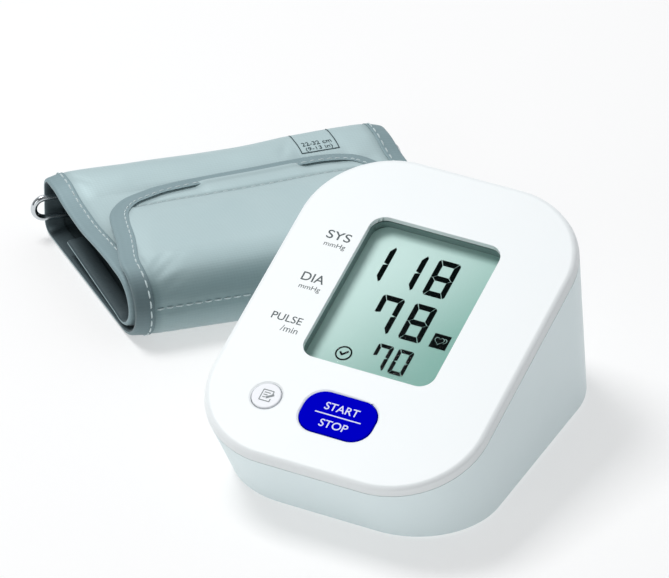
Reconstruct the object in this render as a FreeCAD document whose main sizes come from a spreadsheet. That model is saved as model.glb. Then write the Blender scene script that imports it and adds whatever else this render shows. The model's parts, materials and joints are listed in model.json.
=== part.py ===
"""Upper-arm blood pressure monitor: a desk unit with a sloping face, and its arm cuff rolled up beside it.

Millimetres. The origin is the centre of the underside of the desk unit, on the surface that it stands on.
+X is to the user's right, +Y points away from the user, and +Z is up.
Pieces on the sloping face are drawn in a face frame: u across, v up the slope, w out of the face.
"""
import FreeCAD
import Part
import Sketcher
import math
import os
import re

SIZES = [
    # Outer form of the desk unit
    ("base_width", "98.8", "case width at the underside"),
    ("base_depth", "126.3", "case depth at the underside"),
    ("base_radius", "31", "corner radius at the underside"),
    ("base_edge", "1.0", "rounding of the bottom edge"),
    ("rim_width", "103", "width at the parting line"),
    ("rim_length", "133.8", "length at the parting line, along the slope"),
    ("rim_radius", "32.1", "corner radius at the parting line"),
    ("face_tilt", "19.85", "slope of the face in degrees"),
    ("face_y", "-15.3", "face centre, front to back"),
    ("face_z", "52.6", "face centre, height"),
    ("face_inset", "0.5", "how far the cover leans in from the parting line to the face"),
    ("cover_height", "3.2", "cover height above the parting line"),
    ("cover_edge", "2.0", "rounding of the face's edge"),
    ("wall", "2.2", "case wall"),
    ("floor", "2.6", "case floor"),
    ("cover_wall", "2.0", "cover wall"),
    ("parting_gap", "0.25", "dark line between cover and case"),
    ("lip_depth", "2.4", "locating lip below the parting line"),
    ("lip_wall", "1.2", "locating lip wall"),
    ("lip_gap", "0.7", "lip to case wall"),
    # Display
    ("window_width", "49.4", "display opening across"),
    ("window_length", "63.2", "display opening up the slope"),
    ("window_radius", "5.5", "display opening corners"),
    ("window_v", "8.8", "display opening centre up the slope"),
    ("lens_overlap", "2.2", "lens under the cover, each side"),
    ("lens_thickness", "1.2", "clear lens"),
    ("frame_wall", "2.2", "display frame wall"),
    ("frame_step", "0.5", "display frame opening beyond the window, each side"),
    ("glass_depth", "6.3", "display glass below the face"),
    ("glass_thickness", "2.8", "display glass"),
    ("glass_overlap", "1.4", "display glass under the frame, each side"),
    ("glass_gap", "0.2", "display glass in its frame"),
    ("strip_width", "2.6", "display connector strip"),
    # Circuit board
    ("board_depth", "12.2", "top of the circuit board below the face"),
    ("board_width", "69", "circuit board across"),
    ("board_length", "106", "circuit board up the slope"),
    ("board_radius", "9", "circuit board corners"),
    ("board_thickness", "1.6", "circuit board"),
    ("post_u", "31", "board posts from the middle line"),
    ("post_v_front", "-30.8", "front board posts up the slope"),
    ("post_v_rear", "48.6", "rear board posts up the slope"),
    ("post_radius", "2.8", "board posts"),
    ("small_screw", "1.15", "board screw shank radius"),
    ("small_head", "2.3", "board screw head radius"),
    ("small_head_height", "1.5", "board screw head"),
    ("small_length", "7", "board screw shank"),
    ("chip_side", "12", "controller chip"),
    ("chip_height", "1.6", "controller chip"),
    ("chip_v", "14", "controller chip up the slope"),
    # Buttons
    ("button_v", "-42.8", "buttons down the slope"),
    ("start_width", "26.6", "start button across"),
    ("start_length", "16.8", "start button up the slope"),
    ("start_radius", "6.9", "start button corners"),
    ("memory_u", "-27", "memory button left of the middle"),
    ("memory_radius", "5.2", "memory button"),
    ("button_gap", "0.3", "button to cover"),
    ("button_rim", "0.6", "width of the sloped rim round a button hole"),
    ("button_rim_depth", "0.3", "depth of the sloped rim round a button hole"),
    ("button_proud", "0.2", "button above the face"),
    ("button_edge", "0.4", "rounding of the button tops"),
    ("button_travel", "0.8", "button stroke"),
    ("flange_reach", "1.3", "button flange past its hole"),
    ("flange_thickness", "1.2", "button flange"),
    ("flange_gap", "0.1", "button flange under the cover"),
    ("stem_radius", "2.4", "button stem"),
    ("switch_side", "6", "switch body"),
    ("switch_height", "3.4", "switch body"),
    ("plunger_radius", "1.7", "switch plunger"),
    ("plunger_gap", "0.1", "switch plunger in its bore"),
    ("plunger_rise", "1.4", "switch plunger above its body"),
    ("plunger_depth", "1.9", "switch plunger inside its body"),
    # Case screws and their posts
    ("screw_u_front", "40", "front case screws from the middle line"),
    ("screw_v_front", "-40", "front case screws up the slope"),
    ("screw_u_rear", "41", "rear case screws from the middle line"),
    ("screw_v_rear", "30", "rear case screws up the slope"),
    ("boss_radius", "4.4", "screw bosses in the case"),
    ("boss_height", "9", "least height of the screw bosses above the inside floor"),
    ("case_post_radius", "3.6", "screw posts under the cover"),
    ("case_screw", "1.4", "case screw shank radius"),
    ("case_screw_grip", "9", "case screw in its post"),
    ("case_head", "2.7", "case screw head radius"),
    ("case_head_height", "2.2", "case screw head"),
    ("boss_seat", "3", "boss wall between screw head and post"),
    ("screw_room_front", "2.95", "front posts to the line of the side wall, beside the round corner"),
    ("screw_room_rear", "0.6", "rear posts to the line of the side wall"),
    ("screw_gap", "0.15", "round a screw"),
    # Feet
    ("foot_radius", "4.5", "rubber feet"),
    ("foot_height", "1.0", "rubber feet below the case"),
    ("foot_sunk", "0.8", "rubber feet in their recesses"),
    ("foot_gap", "0.1", "rubber feet in their recesses, round"),
    ("foot_x", "24", "feet from the middle line"),
    ("foot_y_front", "-52", "front feet"),
    ("foot_y_rear", "55.4", "rear feet"),
    # Batteries
    ("cell_radius", "7.1", "battery"),
    ("cell_length", "49.2", "battery without its nub"),
    ("cell_nub_radius", "2.7", "battery nub"),
    ("cell_nub", "1.2", "battery nub"),
    ("cell_pitch", "14.9", "battery spacing"),
    ("cell_gap", "0.3", "battery to bay"),
    ("contact_side", "9", "battery contact plates"),
    ("contact_sheet", "0.4", "battery contact sheet"),
    ("leaf_depth", "2.6", "folded battery contact"),
    ("bay_y", "16.5", "battery bay centre"),
    ("bay_wall", "1.6", "battery bay wall past the door"),
    ("door_ledge", "1", "door past the bay, each side"),
    ("door_gap", "0.3", "door to case"),
    ("hinge_pin", "0.75", "door hinge pin radius"),
    ("hinge_pin_length", "2", "door hinge pin"),
    ("hinge_gap", "0.1", "door hinge pin in its hole"),
    ("latch_width", "16", "door latch tab"),
    ("latch_height", "4", "door latch tab"),
    ("latch_sheet", "0.9", "door latch tab"),
    ("grip_depth", "1", "finger groove in the door"),
    ("grip_length", "7", "finger groove in the door"),
    # Air line: pump, valve, sensor and sockets
    ("air_y", "-24", "air line, front to back"),
    ("air_z", "14.5", "air line, height"),
    ("pump_y", "-32", "pump axis, front to back"),
    ("head_radius", "11", "pump head"),
    ("head_length", "18", "pump head"),
    ("motor_radius", "10", "pump motor"),
    ("motor_length", "20", "pump motor"),
    ("shaft_radius", "1.2", "pump shaft"),
    ("shaft_gap", "0.06", "pump shaft in its bore"),
    ("shaft_length", "24", "pump shaft"),
    ("shaft_end", "0.5", "end of the shaft to the end of its bore"),
    ("cam_radius", "5", "eccentric on the pump shaft"),
    ("cam_offset", "1.2", "eccentric off the shaft's axis"),
    ("cam_length", "5", "eccentric"),
    ("cam_gap", "1", "eccentric to motor"),
    ("chamber_radius", "7.5", "chamber in the pump head"),
    ("chamber_depth", "12", "chamber in the pump head"),
    ("cradle_length", "14", "foam cradle along the pump"),
    ("cradle_wall", "2.5", "foam cradle beside the motor"),
    ("cradle_base", "1", "foam cradle under the motor"),
    ("cradle_gap", "0.1", "foam cradle round the motor"),
    ("spigot_radius", "2", "hose spigots"),
    ("spigot_length", "4", "hose spigots"),
    ("hose_wall", "1", "hose wall"),
    ("hose_gap", "0.1", "hose on its spigot, and short of a shoulder"),
    ("spigot_apart", "2", "between the spigots that a hose joins"),
    ("manifold_side", "8", "air manifold"),
    ("hose_bend", "9", "bend of the sensor hose"),
    ("hose_rise", "5", "straight start of the sensor hose"),
    ("sensor_side", "9", "pressure sensor"),
    ("sensor_height", "3.2", "pressure sensor"),
    ("sensor_spigot", "3", "pressure sensor spigot"),
    ("valve_width", "12", "release valve across"),
    ("valve_length", "9", "release valve front to back"),
    ("valve_top", "4.4", "release valve above the air line"),
    ("armature_radius", "3", "release valve plunger"),
    ("armature_gap", "0.1", "release valve plunger in its bore"),
    ("armature_length", "9", "release valve plunger"),
    ("armature_stroke", "1", "release valve stroke"),
    ("cap_gap", "0.3", "lifted plunger to valve cap"),
    ("cap_sheet", "1.2", "valve cap"),
    ("jack_radius", "5.5", "air socket"),
    ("jack_gap", "0.1", "sockets in the case wall"),
    ("jack_recess", "1", "air socket inside the wall's outer face"),
    ("jack_length", "13", "air socket"),
    ("jack_bore", "3", "air socket bore radius"),
    ("jack_depth", "10", "air socket bore"),
    ("power_x", "12", "power socket right of the middle"),
    ("power_z", "30", "power socket height"),
    ("power_nose", "4.2", "power socket nose radius"),
    ("power_recess", "1", "power socket inside the wall's outer face"),
    ("power_length", "14", "power socket"),
    ("power_body", "10", "power socket body"),
    ("power_bore", "2.8", "power socket bore radius"),
    ("power_depth", "10", "power socket bore"),
    ("power_pin", "1", "power socket pin radius"),
    # Arm cuff, rolled up: a sheet folded round itself
    ("cuff_x", "-172.87", "rear left corner of the rolled cuff, to the right"),
    ("cuff_y", "50.64", "rear left corner of the rolled cuff, back"),
    ("cuff_turn", "51.6", "turn of the cuff's left end in degrees"),
    ("cuff_skew", "9", "how far the roll leans from square to its end, in degrees"),
    ("cuff_length", "126.5", "rolled cuff along the roll"),
    ("cuff_run", "59.5", "flat part of the bottom layer"),
    ("cloth", "0.9", "one cloth layer"),
    ("bladder", "0.8", "air bladder"),
    ("cloth_gap", "0.1", "bladder to cloth"),
    ("rear_fold", "11.4", "half the height of the rear fold, at mid sheet"),
    ("rear_corner", "4", "corners of the rear fold, at mid sheet"),
    ("layer_gap", "0.3", "flap over the highest part of the layer below"),
    ("inside_gap", "0.5", "inner layer over the bottom layer"),
    ("front_gap", "4.4", "inner front fold to outer front fold"),
    ("flap_run", "55.5", "flap from the front fold to its free end"),
    ("flap_slope", "0.3", "flap slope in degrees"),
    ("top_slope", "4.5", "second layer's slope in degrees"),
    ("inner_run", "45", "inner layer from the inner fold to the ring's webbing"),
    ("inner_slope", "5.2", "inner layer's slope in degrees"),
    ("flap_inset", "13", "flap's free end in from the cuff's ends"),
    ("flap_corner", "15", "flap's corners"),
    ("binding", "6.5", "binding tape on the cuff's ends"),
    ("bladder_margin", "7", "bladder short of the seams"),
    ("hook_sheet", "0.8", "hook patch under the flap"),
    ("hook_length", "24", "hook patch along the flap"),
    ("hook_margin", "12", "hook patch in from the flap's sides"),
    ("ring_wire", "1.2", "ring wire radius"),
    ("ring_half", "4.2", "half the height of the ring, at mid wire"),
    ("ring_out", "1.2", "ring's straight bars past the cuff's ends"),
    ("ring_room", "0.3", "webbing to the rear fold"),
    ("webbing", "0.6", "webbing strip"),
    ("webbing_gap", "0.15", "webbing round the wire"),
    ("webbing_inset", "9", "webbing in from the cuff's ends"),
    ("port_barrel", "2.6", "barrel of the cuff's hose port, radius"),
    ("port_spigot", "2.2", "spigot of the hose port, radius"),
    ("port_bore", "1.2", "bore of the hose port, radius"),
    ("port_in", "9", "hose port inside the cuff"),
    ("port_collar", "1.5", "hose port's barrel past the cuff's end"),
    ("port_out", "6", "hose port's spigot past its barrel"),
    ("port_run", "22", "hose port from the inner front fold"),
    ("port_gap", "0.1", "under the hose port"),
]
ALIASES = {alias for alias, value, note in SIZES}
X_AXIS = FreeCAD.Vector(1, 0, 0)
Y_AXIS = FreeCAD.Vector(0, 1, 0)
Z_AXIS = FreeCAD.Vector(0, 0, 1)
# How far a cutting shape reaches past the face that it cuts
PAST = "5"
# Batteries side by side in the bay
CELLS = 4
# Least lean of a side wall that a screw boss is worked out from
LEAST_LEAN = "1"
# Where a rounded edge of a loft has its outlines, in degrees round the edge
EDGE_ANGLES = (0, 18, 36, 54, 72, 90)

doc = FreeCAD.newDocument("blood_pressure_monitor")
sheet = doc.addObject("Spreadsheet::Sheet", "Sizes")
for row, (alias, value, note) in enumerate(SIZES, start=1):
    sheet.set(f"A{row}", note)
    sheet.set(f"B{row}", value)
    sheet.setAlias(f"B{row}", alias)
doc.recompute()


# Expressions and placements

def cells(text):
    """Write a formula of size names as an expression on the sheet's cells."""
    def cell_name(word):
        return "Sizes." + word[0] if word[0] in ALIASES else word[0]
    return re.sub(r"[a-z_]+", cell_name, str(text))


def value(text):
    """The number that a formula of size names gives."""
    return float(sheet.evalExpression(cells(text)))


def bind(item, **formulas):
    """Bind properties to formulas; a double underscore in a name stands for a dot."""
    for name, text in formulas.items():
        item.setExpression(name.replace("__", "."), cells(text))


def place(item, x="0", y="0", z="0", axis=None, turn="0", prop="Placement"):
    """Bind an item's place, and its turn about an axis."""
    setattr(item, prop, FreeCAD.Placement(FreeCAD.Vector(), FreeCAD.Rotation(axis or Z_AXIS, value(turn))))
    bind(item, **{f"{prop}__Base__x": x, f"{prop}__Base__y": y, f"{prop}__Base__z": z})
    if axis:
        bind(item, **{f"{prop}__Rotation__Angle": turn})
    return item


def face_point(v="0", w="0"):
    """Formulas for the y and z of a point v up the slope and w out of the face."""
    y = f"face_y + ({v}) * cos(face_tilt) - ({w}) * sin(face_tilt)"
    z = f"face_z + ({v}) * sin(face_tilt) + ({w}) * cos(face_tilt)"
    return y, z


def on_face(item, u="0", v="0", w="0"):
    """Place an item that is drawn in the face frame."""
    y, z = face_point(v, w)
    return place(item, u, y, z, X_AXIS, "face_tilt")


# Solids and booleans

def box(name, size, middle):
    """A box of a size, on the middle of its underside."""
    item = doc.addObject("Part::Box", name)
    bind(item, Length=size[0], Width=size[1], Height=size[2])
    place(item, f"{middle[0]} - ({size[0]}) / 2", f"{middle[1]} - ({size[1]}) / 2", middle[2])
    return item


def rod(name, radius, length, start, axis="z"):
    """A round bar from a start point along +X, +Y, -Y or +Z."""
    item = doc.addObject("Part::Cylinder", name)
    bind(item, Radius=radius, Height=length)
    turns = {"x": (Y_AXIS, "90"), "y": (X_AXIS, "-90"), "-y": (X_AXIS, "90"), "z": (None, "0")}
    return place(item, *start, *turns[axis])


def normal_rod(name, radius, length, u, v, w):
    """A round bar along the face's normal, from a face point upwards."""
    item = doc.addObject("Part::Cylinder", name)
    bind(item, Radius=radius, Height=length)
    return on_face(item, u, v, w)


def fuse(name, items):
    """Join solids into one."""
    item = doc.addObject("Part::MultiFuse", name)
    item.Shapes = items
    return item


def cut(name, base, tools):
    """Take one or more solids away from a base."""
    item = doc.addObject("Part::Cut", name)
    item.Base = base
    item.Tool = tools[0] if len(tools) == 1 else fuse(name + "_tools", tools)
    return item


def common(name, base, tool):
    """Keep what two solids share."""
    item = doc.addObject("Part::Common", name)
    item.Base = base
    item.Tool = tool
    return item


def group(name, items):
    """Keep like pieces in one node as separate solids."""
    item = doc.addObject("Part::Compound", name)
    item.Links = items
    return item


# Sketched bodies

def new_body(name):
    """An empty body."""
    return doc.addObject("PartDesign::Body", name)


def sketch_on(body, name, x="0", y="0", z="0", tilt=None):
    """A sketch over the body's base plane, moved and leaned back about X."""
    plane = [item for item in body.Origin.OriginFeatures if item.Role == "XY_Plane"][0]
    sketch = body.newObject("Sketcher::SketchObject", name)
    sketch.AttachmentSupport = [(plane, "")]
    sketch.MapMode = "FlatFace"
    place(sketch, x, y, z, X_AXIS if tilt else None, tilt or "0", "AttachmentOffset")
    return sketch


def rounded_rectangle(sketch, width, length, radius):
    """Draw a rounded rectangle about the sketch's origin, bound to its width, length and radius."""
    a, b, r = value(width) / 2, value(length) / 2, value(radius)
    vec = FreeCAD.Vector
    corners = [vec(a - r, b - r), vec(r - a, b - r), vec(r - a, r - b), vec(a - r, r - b)]
    sides = [(vec(a, r - b), vec(a, b - r)), (vec(a - r, b), vec(r - a, b)),
             (vec(-a, b - r), vec(-a, r - b)), (vec(r - a, -b), vec(a - r, -b))]
    for index in range(4):
        sketch.addGeometry(Part.LineSegment(*sides[index]), False)
        round_end = Part.Circle(corners[index], Z_AXIS, r)
        sketch.addGeometry(Part.ArcOfCircle(round_end, index * math.pi / 2, (index + 1) * math.pi / 2), False)
    constrain = Sketcher.Constraint
    rules = [constrain("Vertical", 0), constrain("Horizontal", 2), constrain("Vertical", 4),
             constrain("Horizontal", 6)]
    for index in range(4):
        line, arc, after = 2 * index, 2 * index + 1, (2 * index + 2) % 8
        rules.append(constrain("Tangent", line, 2, arc, 1))
        rules.append(constrain("Tangent", arc, 2, after, 1))
    rules += [constrain("Equal", 1, arc) for arc in (3, 5, 7)]
    rules.append(constrain("Symmetric", 1, 3, 5, 3, -1, 1))
    sketch.addConstraint(rules)
    for name, rule, formula in (
            ("width", constrain("DistanceX", 4, 1, 0, 2, 2 * a), width),
            ("length", constrain("DistanceY", 6, 2, 2, 1, 2 * b), length),
            ("radius", constrain("Radius", 1, r), radius)):
        index = sketch.addConstraint(rule)
        sketch.renameConstraint(index, name)
        sketch.setExpression("Constraints." + name, cells(formula))
    return sketch


def circle(sketch, radius, x="0", y="0"):
    """Draw a circle in a sketch, bound to its radius and place."""
    middle = FreeCAD.Vector(value(x), value(y))
    curve = sketch.addGeometry(Part.Circle(middle, Z_AXIS, value(radius)), False)
    rules = [("Radius", (curve, value(radius)), radius)]
    if (x, y) == ("0", "0"):
        sketch.addConstraint(Sketcher.Constraint("Coincident", curve, 3, -1, 1))
    else:
        rules.append(("DistanceX", (-1, 1, curve, 3, value(x)), x))
        rules.append(("DistanceY", (-1, 1, curve, 3, value(y)), y))
    for kind, where, formula in rules:
        index = sketch.addConstraint(Sketcher.Constraint(kind, *where))
        sketch.setExpression(f"Constraints[{index}]", cells(formula))
    return sketch


def pad(body, sketch, height):
    """Raise a sketch along its own normal."""
    item = body.newObject("PartDesign::Pad", sketch.Name + "_pad")
    item.Profile = sketch
    bind(item, Length=height)
    return item


def rounded_block(body, name, width, length, radius, bottom, height, v="0", u="0"):
    """Pad a rounded rectangle from a level."""
    sketch = sketch_on(body, name, u, v, bottom)
    rounded_rectangle(sketch, width, length, radius)
    return pad(body, sketch, height)


def loft(body, name, outlines):
    """Loft a solid through sketches, from the lowest up."""
    item = body.newObject("PartDesign::AdditiveLoft", name)
    item.Profile = outlines[0]
    item.Sections = outlines[1:]
    item.Ruled = True
    return item


def round_edges(body, feature, radius, wanted):
    """Round the edges of the body that a test picks by their end points."""
    doc.recompute()
    names = []
    for index, edge in enumerate(feature.Shape.Edges, start=1):
        if wanted(edge):
            names.append(f"Edge{index}")
    item = body.newObject("PartDesign::Fillet", feature.Name + "_round")
    item.Base = (feature, names)
    bind(item, Radius=radius)
    return item


def at_level(level):
    """A test for edges that lie flat at a level."""
    return lambda edge: all(abs(vertex.Z - level) < 0.001 for vertex in edge.Vertexes)


# Places that several pieces share

FLOOR_TOP = "(foot_height + floor)"
BAY_X = "(leaf_depth + cell_length + cell_nub + contact_sheet)"
BAY_Y = f"({CELLS - 1} * cell_pitch + 2 * cell_radius + 2 * cell_gap)"
BAY_Z = "(2 * cell_radius + 2 * cell_gap)"
CELL_Z = f"({FLOOR_TOP} + cell_gap + cell_radius)"
DOOR_X = f"({BAY_X} + 2 * door_ledge)"
DOOR_Y = f"({BAY_Y} + 2 * door_ledge)"
DOOR_Z = "(floor - door_gap)"
HINGE_Y = f"(bay_y - {DOOR_Y} / 2 + {DOOR_Z} / 2)"
HINGE_Z = f"(foot_height + {DOOR_Z} / 2)"
RIM_W = "(-cover_height - parting_gap)"
BOARD_TOP = "(-board_depth)"
BOARD_UNDER = "(-board_depth - board_thickness)"
LENS_UNDER = "(-cover_wall - lens_thickness)"
GLASS_X = "(window_width + 2 * glass_overlap)"
GLASS_Y = "(window_length + 2 * glass_overlap)"
SWITCH_TOP = f"({BOARD_TOP} + switch_height)"
FLANGE_TOP = "(-cover_wall - flange_gap)"
FLANGE_UNDER = f"({FLANGE_TOP} - flange_thickness)"
# The left wall where the air socket goes through it, and the rear wall at the power socket
RIM_Z = "(face_z + (air_y - face_y) * tan(face_tilt) - cover_height / cos(face_tilt))"
AIR_WALL = (f"(base_width / 2 + (rim_width - base_width) / 2"
            f" * (air_z - foot_height) / ({RIM_Z} - foot_height))")
REAR_RIM_Y = "(face_y + cover_height * sin(face_tilt) + rim_length / 2 * cos(face_tilt))"
REAR_RIM_Z = "(face_z - cover_height * cos(face_tilt) + rim_length / 2 * sin(face_tilt))"
POWER_WALL = (f"(base_depth / 2 + ({REAR_RIM_Y} - base_depth / 2)"
              f" * (power_z - foot_height) / ({REAR_RIM_Z} - foot_height))")
# Along the air line, from the socket to the pump
JACK_OUT = f"(-{AIR_WALL} + jack_recess)"
JACK_IN = f"({JACK_OUT} + jack_length)"
MANIFOLD_X = f"({JACK_IN} + 2 * spigot_length + spigot_apart + manifold_side / 2)"
PUMP_X = f"({MANIFOLD_X} + manifold_side / 2 + 2 * spigot_length + spigot_apart)"
MOTOR_X = f"({PUMP_X} + head_length)"
PUMP_Z = f"({FLOOR_TOP} + cradle_base + motor_radius)"
VALVE_REAR = "(air_y - manifold_side / 2 - 2 * spigot_length - spigot_apart)"
VALVE_Y = f"({VALVE_REAR} - valve_length / 2)"
VALVE_TOP = "(air_z + valve_top)"
ARMATURE_Z = f"({VALVE_TOP} - armature_length - armature_stroke - cap_gap)"
MANIFOLD_TOP = "(air_z + manifold_side / 2)"
BEND_Z = f"({MANIFOLD_TOP} + hose_rise)"
BEND_END_Y = "(air_y - hose_bend * (1 - cos(face_tilt)))"
BEND_END_Z = f"({BEND_Z} + hose_bend * sin(face_tilt))"
BEND_END_V = f"(({BEND_END_Y} - face_y) * cos(face_tilt) + ({BEND_END_Z} - face_z) * sin(face_tilt))"
BEND_END_W = f"(({BEND_END_Z} - face_z) * cos(face_tilt) - ({BEND_END_Y} - face_y) * sin(face_tilt))"
SENSOR_UNDER = f"({BOARD_UNDER} - sensor_height)"
HOSE_INNER = "(spigot_radius + hose_gap)"
HOSE_OUTER = f"({HOSE_INNER} + hose_wall)"


def screw_places():
    """Name, u, v, level of the boss top below the face, and boss height, for each case screw.

    A boss rises to where the leaning side walls leave room for the cover's post.
    """
    places = []
    lean = f"max((rim_width - base_width) / 2; {LEAST_LEAN})"
    for end in ("front", "rear"):
        reach = f"((face_z + screw_v_{end} * sin(face_tilt) - {FLOOR_TOP}) / cos(face_tilt))"
        short = f"(screw_u_{end} + case_post_radius + screw_room_{end} + wall - base_width / 2)"
        rise = f"max(boss_height; {short} / {lean} * {reach})"
        for side, sign in (("left", "-"), ("right", "")):
            places.append((f"{end}_{side}", f"{sign}screw_u_{end}", f"screw_v_{end}",
                           f"({rise} - {reach})", rise))
    return places


def post_places():
    """Name, u and v of each board post."""
    return [(f"{end}_{side}", f"{sign}post_u", f"post_v_{end}")
            for end in ("front", "rear") for side, sign in (("left", "-"), ("right", ""))]


def foot_places():
    """Name, x and y of each foot."""
    return [(f"{end}_{side}", f"{sign}foot_x", f"foot_y_{end}")
            for end in ("front", "rear") for side, sign in (("left", "-"), ("right", ""))]


# Case and cover

def lower_case():
    """The deep lower shell with its screw bosses, battery bay and socket holes."""
    rim_y, rim_z = face_point("0", RIM_W)
    outer = new_body("case_outer")
    outlines = []
    for angle in EDGE_ANGLES:
        level = sketch_on(outer, f"case_base_{angle}", z=f"foot_height + base_edge * (1 - cos({angle}))")
        inset = f"base_edge * (1 - sin({angle}))"
        outlines.append(rounded_rectangle(level, f"base_width - 2 * {inset}", f"base_depth - 2 * {inset}",
                                          f"base_radius - {inset}"))
    rim = sketch_on(outer, "case_rim", "0", rim_y, rim_z, "face_tilt")
    outlines.append(rounded_rectangle(rim, "rim_width", "rim_length", "rim_radius"))
    loft(outer, "case_form", outlines)
    inner = new_body("case_inner")
    base = sketch_on(inner, "case_floor", z=FLOOR_TOP)
    rounded_rectangle(base, "base_width - 2 * wall", "base_depth - 2 * wall", "base_radius - wall")
    rim = sketch_on(inner, "case_mouth", "0", rim_y, rim_z, "face_tilt")
    rounded_rectangle(rim, "rim_width - 2 * wall", "rim_length - 2 * wall", "rim_radius - wall")
    loft(inner, "case_hollow", [base, rim])
    bosses = fuse("case_bosses", [
        normal_rod(f"boss_{name}", "boss_radius", f"{rise} + 3 * floor", u, v, f"{seat} - {rise} - 3 * floor")
        for name, u, v, seat, rise in screw_places()])
    bay = box("bay_outer", (f"{DOOR_X} + 2 * door_gap + 2 * bay_wall",
                            f"{DOOR_Y} + 2 * door_gap + 2 * bay_wall", f"{BAY_Z} + bay_wall"),
              ("0", "bay_y", FLOOR_TOP))
    shell = cut("case_shell", outer, [inner])
    solid = fuse("case_solid", [shell, common("bosses_inside", bosses, outer), bay])
    tools = [
        box("bay_hollow", (BAY_X, BAY_Y, f"{BAY_Z} + {PAST}"), ("0", "bay_y", f"{FLOOR_TOP} - {PAST}")),
        box("door_hole", (f"{DOOR_X} + 2 * door_gap", f"{DOOR_Y} + 2 * door_gap", f"floor + {PAST}"),
            ("0", "bay_y", f"foot_height - {PAST}")),
        box("latch_slot", ("latch_width + 2 * door_gap", "latch_sheet + 2 * door_gap",
                           f"floor + latch_height + {PAST}"),
            ("0", f"bay_y + {DOOR_Y} / 2 - latch_sheet / 2", f"foot_height - {PAST}")),
        rod("hinge_hole", "hinge_pin + hinge_gap", f"{DOOR_X} + 2 * door_gap + 2 * hinge_pin_length",
            (f"-{DOOR_X} / 2 - door_gap - hinge_pin_length", HINGE_Y, HINGE_Z), "x"),
        rod("air_hole", "jack_radius + jack_gap", f"wall + 2 * {PAST}",
            (f"-{AIR_WALL} - {PAST}", "air_y", "air_z"), "x"),
        rod("power_hole", "power_nose + jack_gap", f"wall + 2 * {PAST}",
            ("power_x", f"{POWER_WALL} - wall - {PAST}", "power_z"), "y"),
    ]
    for name, x, y in foot_places():
        tools.append(rod(f"foot_recess_{name}", "foot_radius + foot_gap", f"foot_sunk + {PAST}",
                         (x, y, f"foot_height - {PAST}")))
    for name, u, v, seat, rise in screw_places():
        tools.append(normal_rod(f"screw_hole_{name}", "case_screw + screw_gap", "3 * boss_seat", u, v,
                                f"{seat} - 2 * boss_seat"))
        tools.append(normal_rod(f"head_well_{name}", "case_head + screw_gap", f"{rise} + 3 * floor", u, v,
                                f"{seat} - boss_seat - {rise} - 3 * floor"))
    return cut("lower_case", solid, tools)


def front_cover():
    """The white cover with its locating lip, posts, display opening and button holes."""
    outer = new_body("cover_outer")
    rim = sketch_on(outer, "cover_rim", z="-cover_height")
    outlines = [rounded_rectangle(rim, "rim_width", "rim_length", "rim_radius")]
    for angle in EDGE_ANGLES:
        level = sketch_on(outer, f"cover_face_{angle}", z=f"cover_edge * (sin({angle}) - 1)")
        inset = f"(face_inset + cover_edge * (1 - cos({angle})))"
        outlines.append(rounded_rectangle(level, f"rim_width - 2 * {inset}", f"rim_length - 2 * {inset}",
                                          f"rim_radius - {inset}"))
    loft(outer, "cover_form", outlines)
    hollow = new_body("cover_hollow")
    rounded_block(hollow, "cover_inside", "rim_width - 2 * wall", "rim_length - 2 * wall",
                  "rim_radius - wall", "-cover_height", "cover_height - cover_wall")
    lip = new_body("cover_lip")
    lip_inset = "(wall + lip_gap)"
    lip_bottom, lip_height = "-cover_height - lip_depth", "cover_height + lip_depth - cover_wall"
    rounded_block(lip, "lip_outer", f"rim_width - 2 * {lip_inset}", f"rim_length - 2 * {lip_inset}",
                  f"rim_radius - {lip_inset}", lip_bottom, lip_height)
    lip_hollow = new_body("lip_hollow")
    lip_inset = "(wall + lip_gap + lip_wall)"
    rounded_block(lip_hollow, "lip_inner", f"rim_width - 2 * {lip_inset}", f"rim_length - 2 * {lip_inset}",
                  f"rim_radius - {lip_inset}", lip_bottom, lip_height)
    solids = [cut("cover_shell", outer, [hollow]), cut("cover_lip_ring", lip, [lip_hollow])]
    window = new_body("window_hole")
    rounded_block(window, "window_outline", "window_width", "window_length", "window_radius", "-cover_wall",
                  f"cover_wall + {PAST}", v="window_v")
    start_hole = new_body("start_hole")
    rounded_block(start_hole, "start_hole_outline", "start_width + 2 * button_gap",
                  "start_length + 2 * button_gap", "start_radius + button_gap", "-cover_wall",
                  f"cover_wall + {PAST}", v="button_v")
    tools = [window, start_hole, rod("memory_hole", "memory_radius + button_gap", f"cover_wall + {PAST}",
                                     ("memory_u", "button_v", "-cover_wall")), *button_rims()]
    for name, u, v in post_places():
        solids.append(rod(f"board_post_{name}", "post_radius", "board_depth - cover_wall", (u, v, BOARD_TOP)))
        tools.append(rod(f"board_pilot_{name}", "small_screw + screw_gap",
                         "small_length - board_thickness + screw_gap", (u, v, BOARD_TOP)))
    for name, u, v, seat, rise in screw_places():
        solids.append(rod(f"case_post_{name}", "case_post_radius", f"-cover_wall - {seat}", (u, v, seat)))
        tools.append(rod(f"case_pilot_{name}", "case_screw + screw_gap", "case_screw_grip + screw_gap",
                         (u, v, seat)))
    return on_face(cut("front_cover", fuse("cover_solid", solids), tools))


def button_rims():
    """Cutting shapes of the sloped rims round the button holes, from inside the hole to above the face."""
    start, memory = new_body("start_rim"), new_body("memory_rim")
    start_outlines, memory_outlines = [], []
    for name, level, spread in (("foot", "-2 * button_rim_depth", "(button_gap - button_rim)"),
                                ("mouth", "button_rim_depth", "(button_gap + 2 * button_rim)")):
        sketch = sketch_on(start, f"start_rim_{name}", y="button_v", z=level)
        start_outlines.append(rounded_rectangle(sketch, f"start_width + 2 * {spread}",
                                                f"start_length + 2 * {spread}", f"start_radius + {spread}"))
        sketch = sketch_on(memory, f"memory_rim_{name}", "memory_u", "button_v", level)
        memory_outlines.append(circle(sketch, f"memory_radius + {spread}"))
    loft(start, "start_rim_form", start_outlines)
    loft(memory, "memory_rim_form", memory_outlines)
    return [start, memory]


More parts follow.
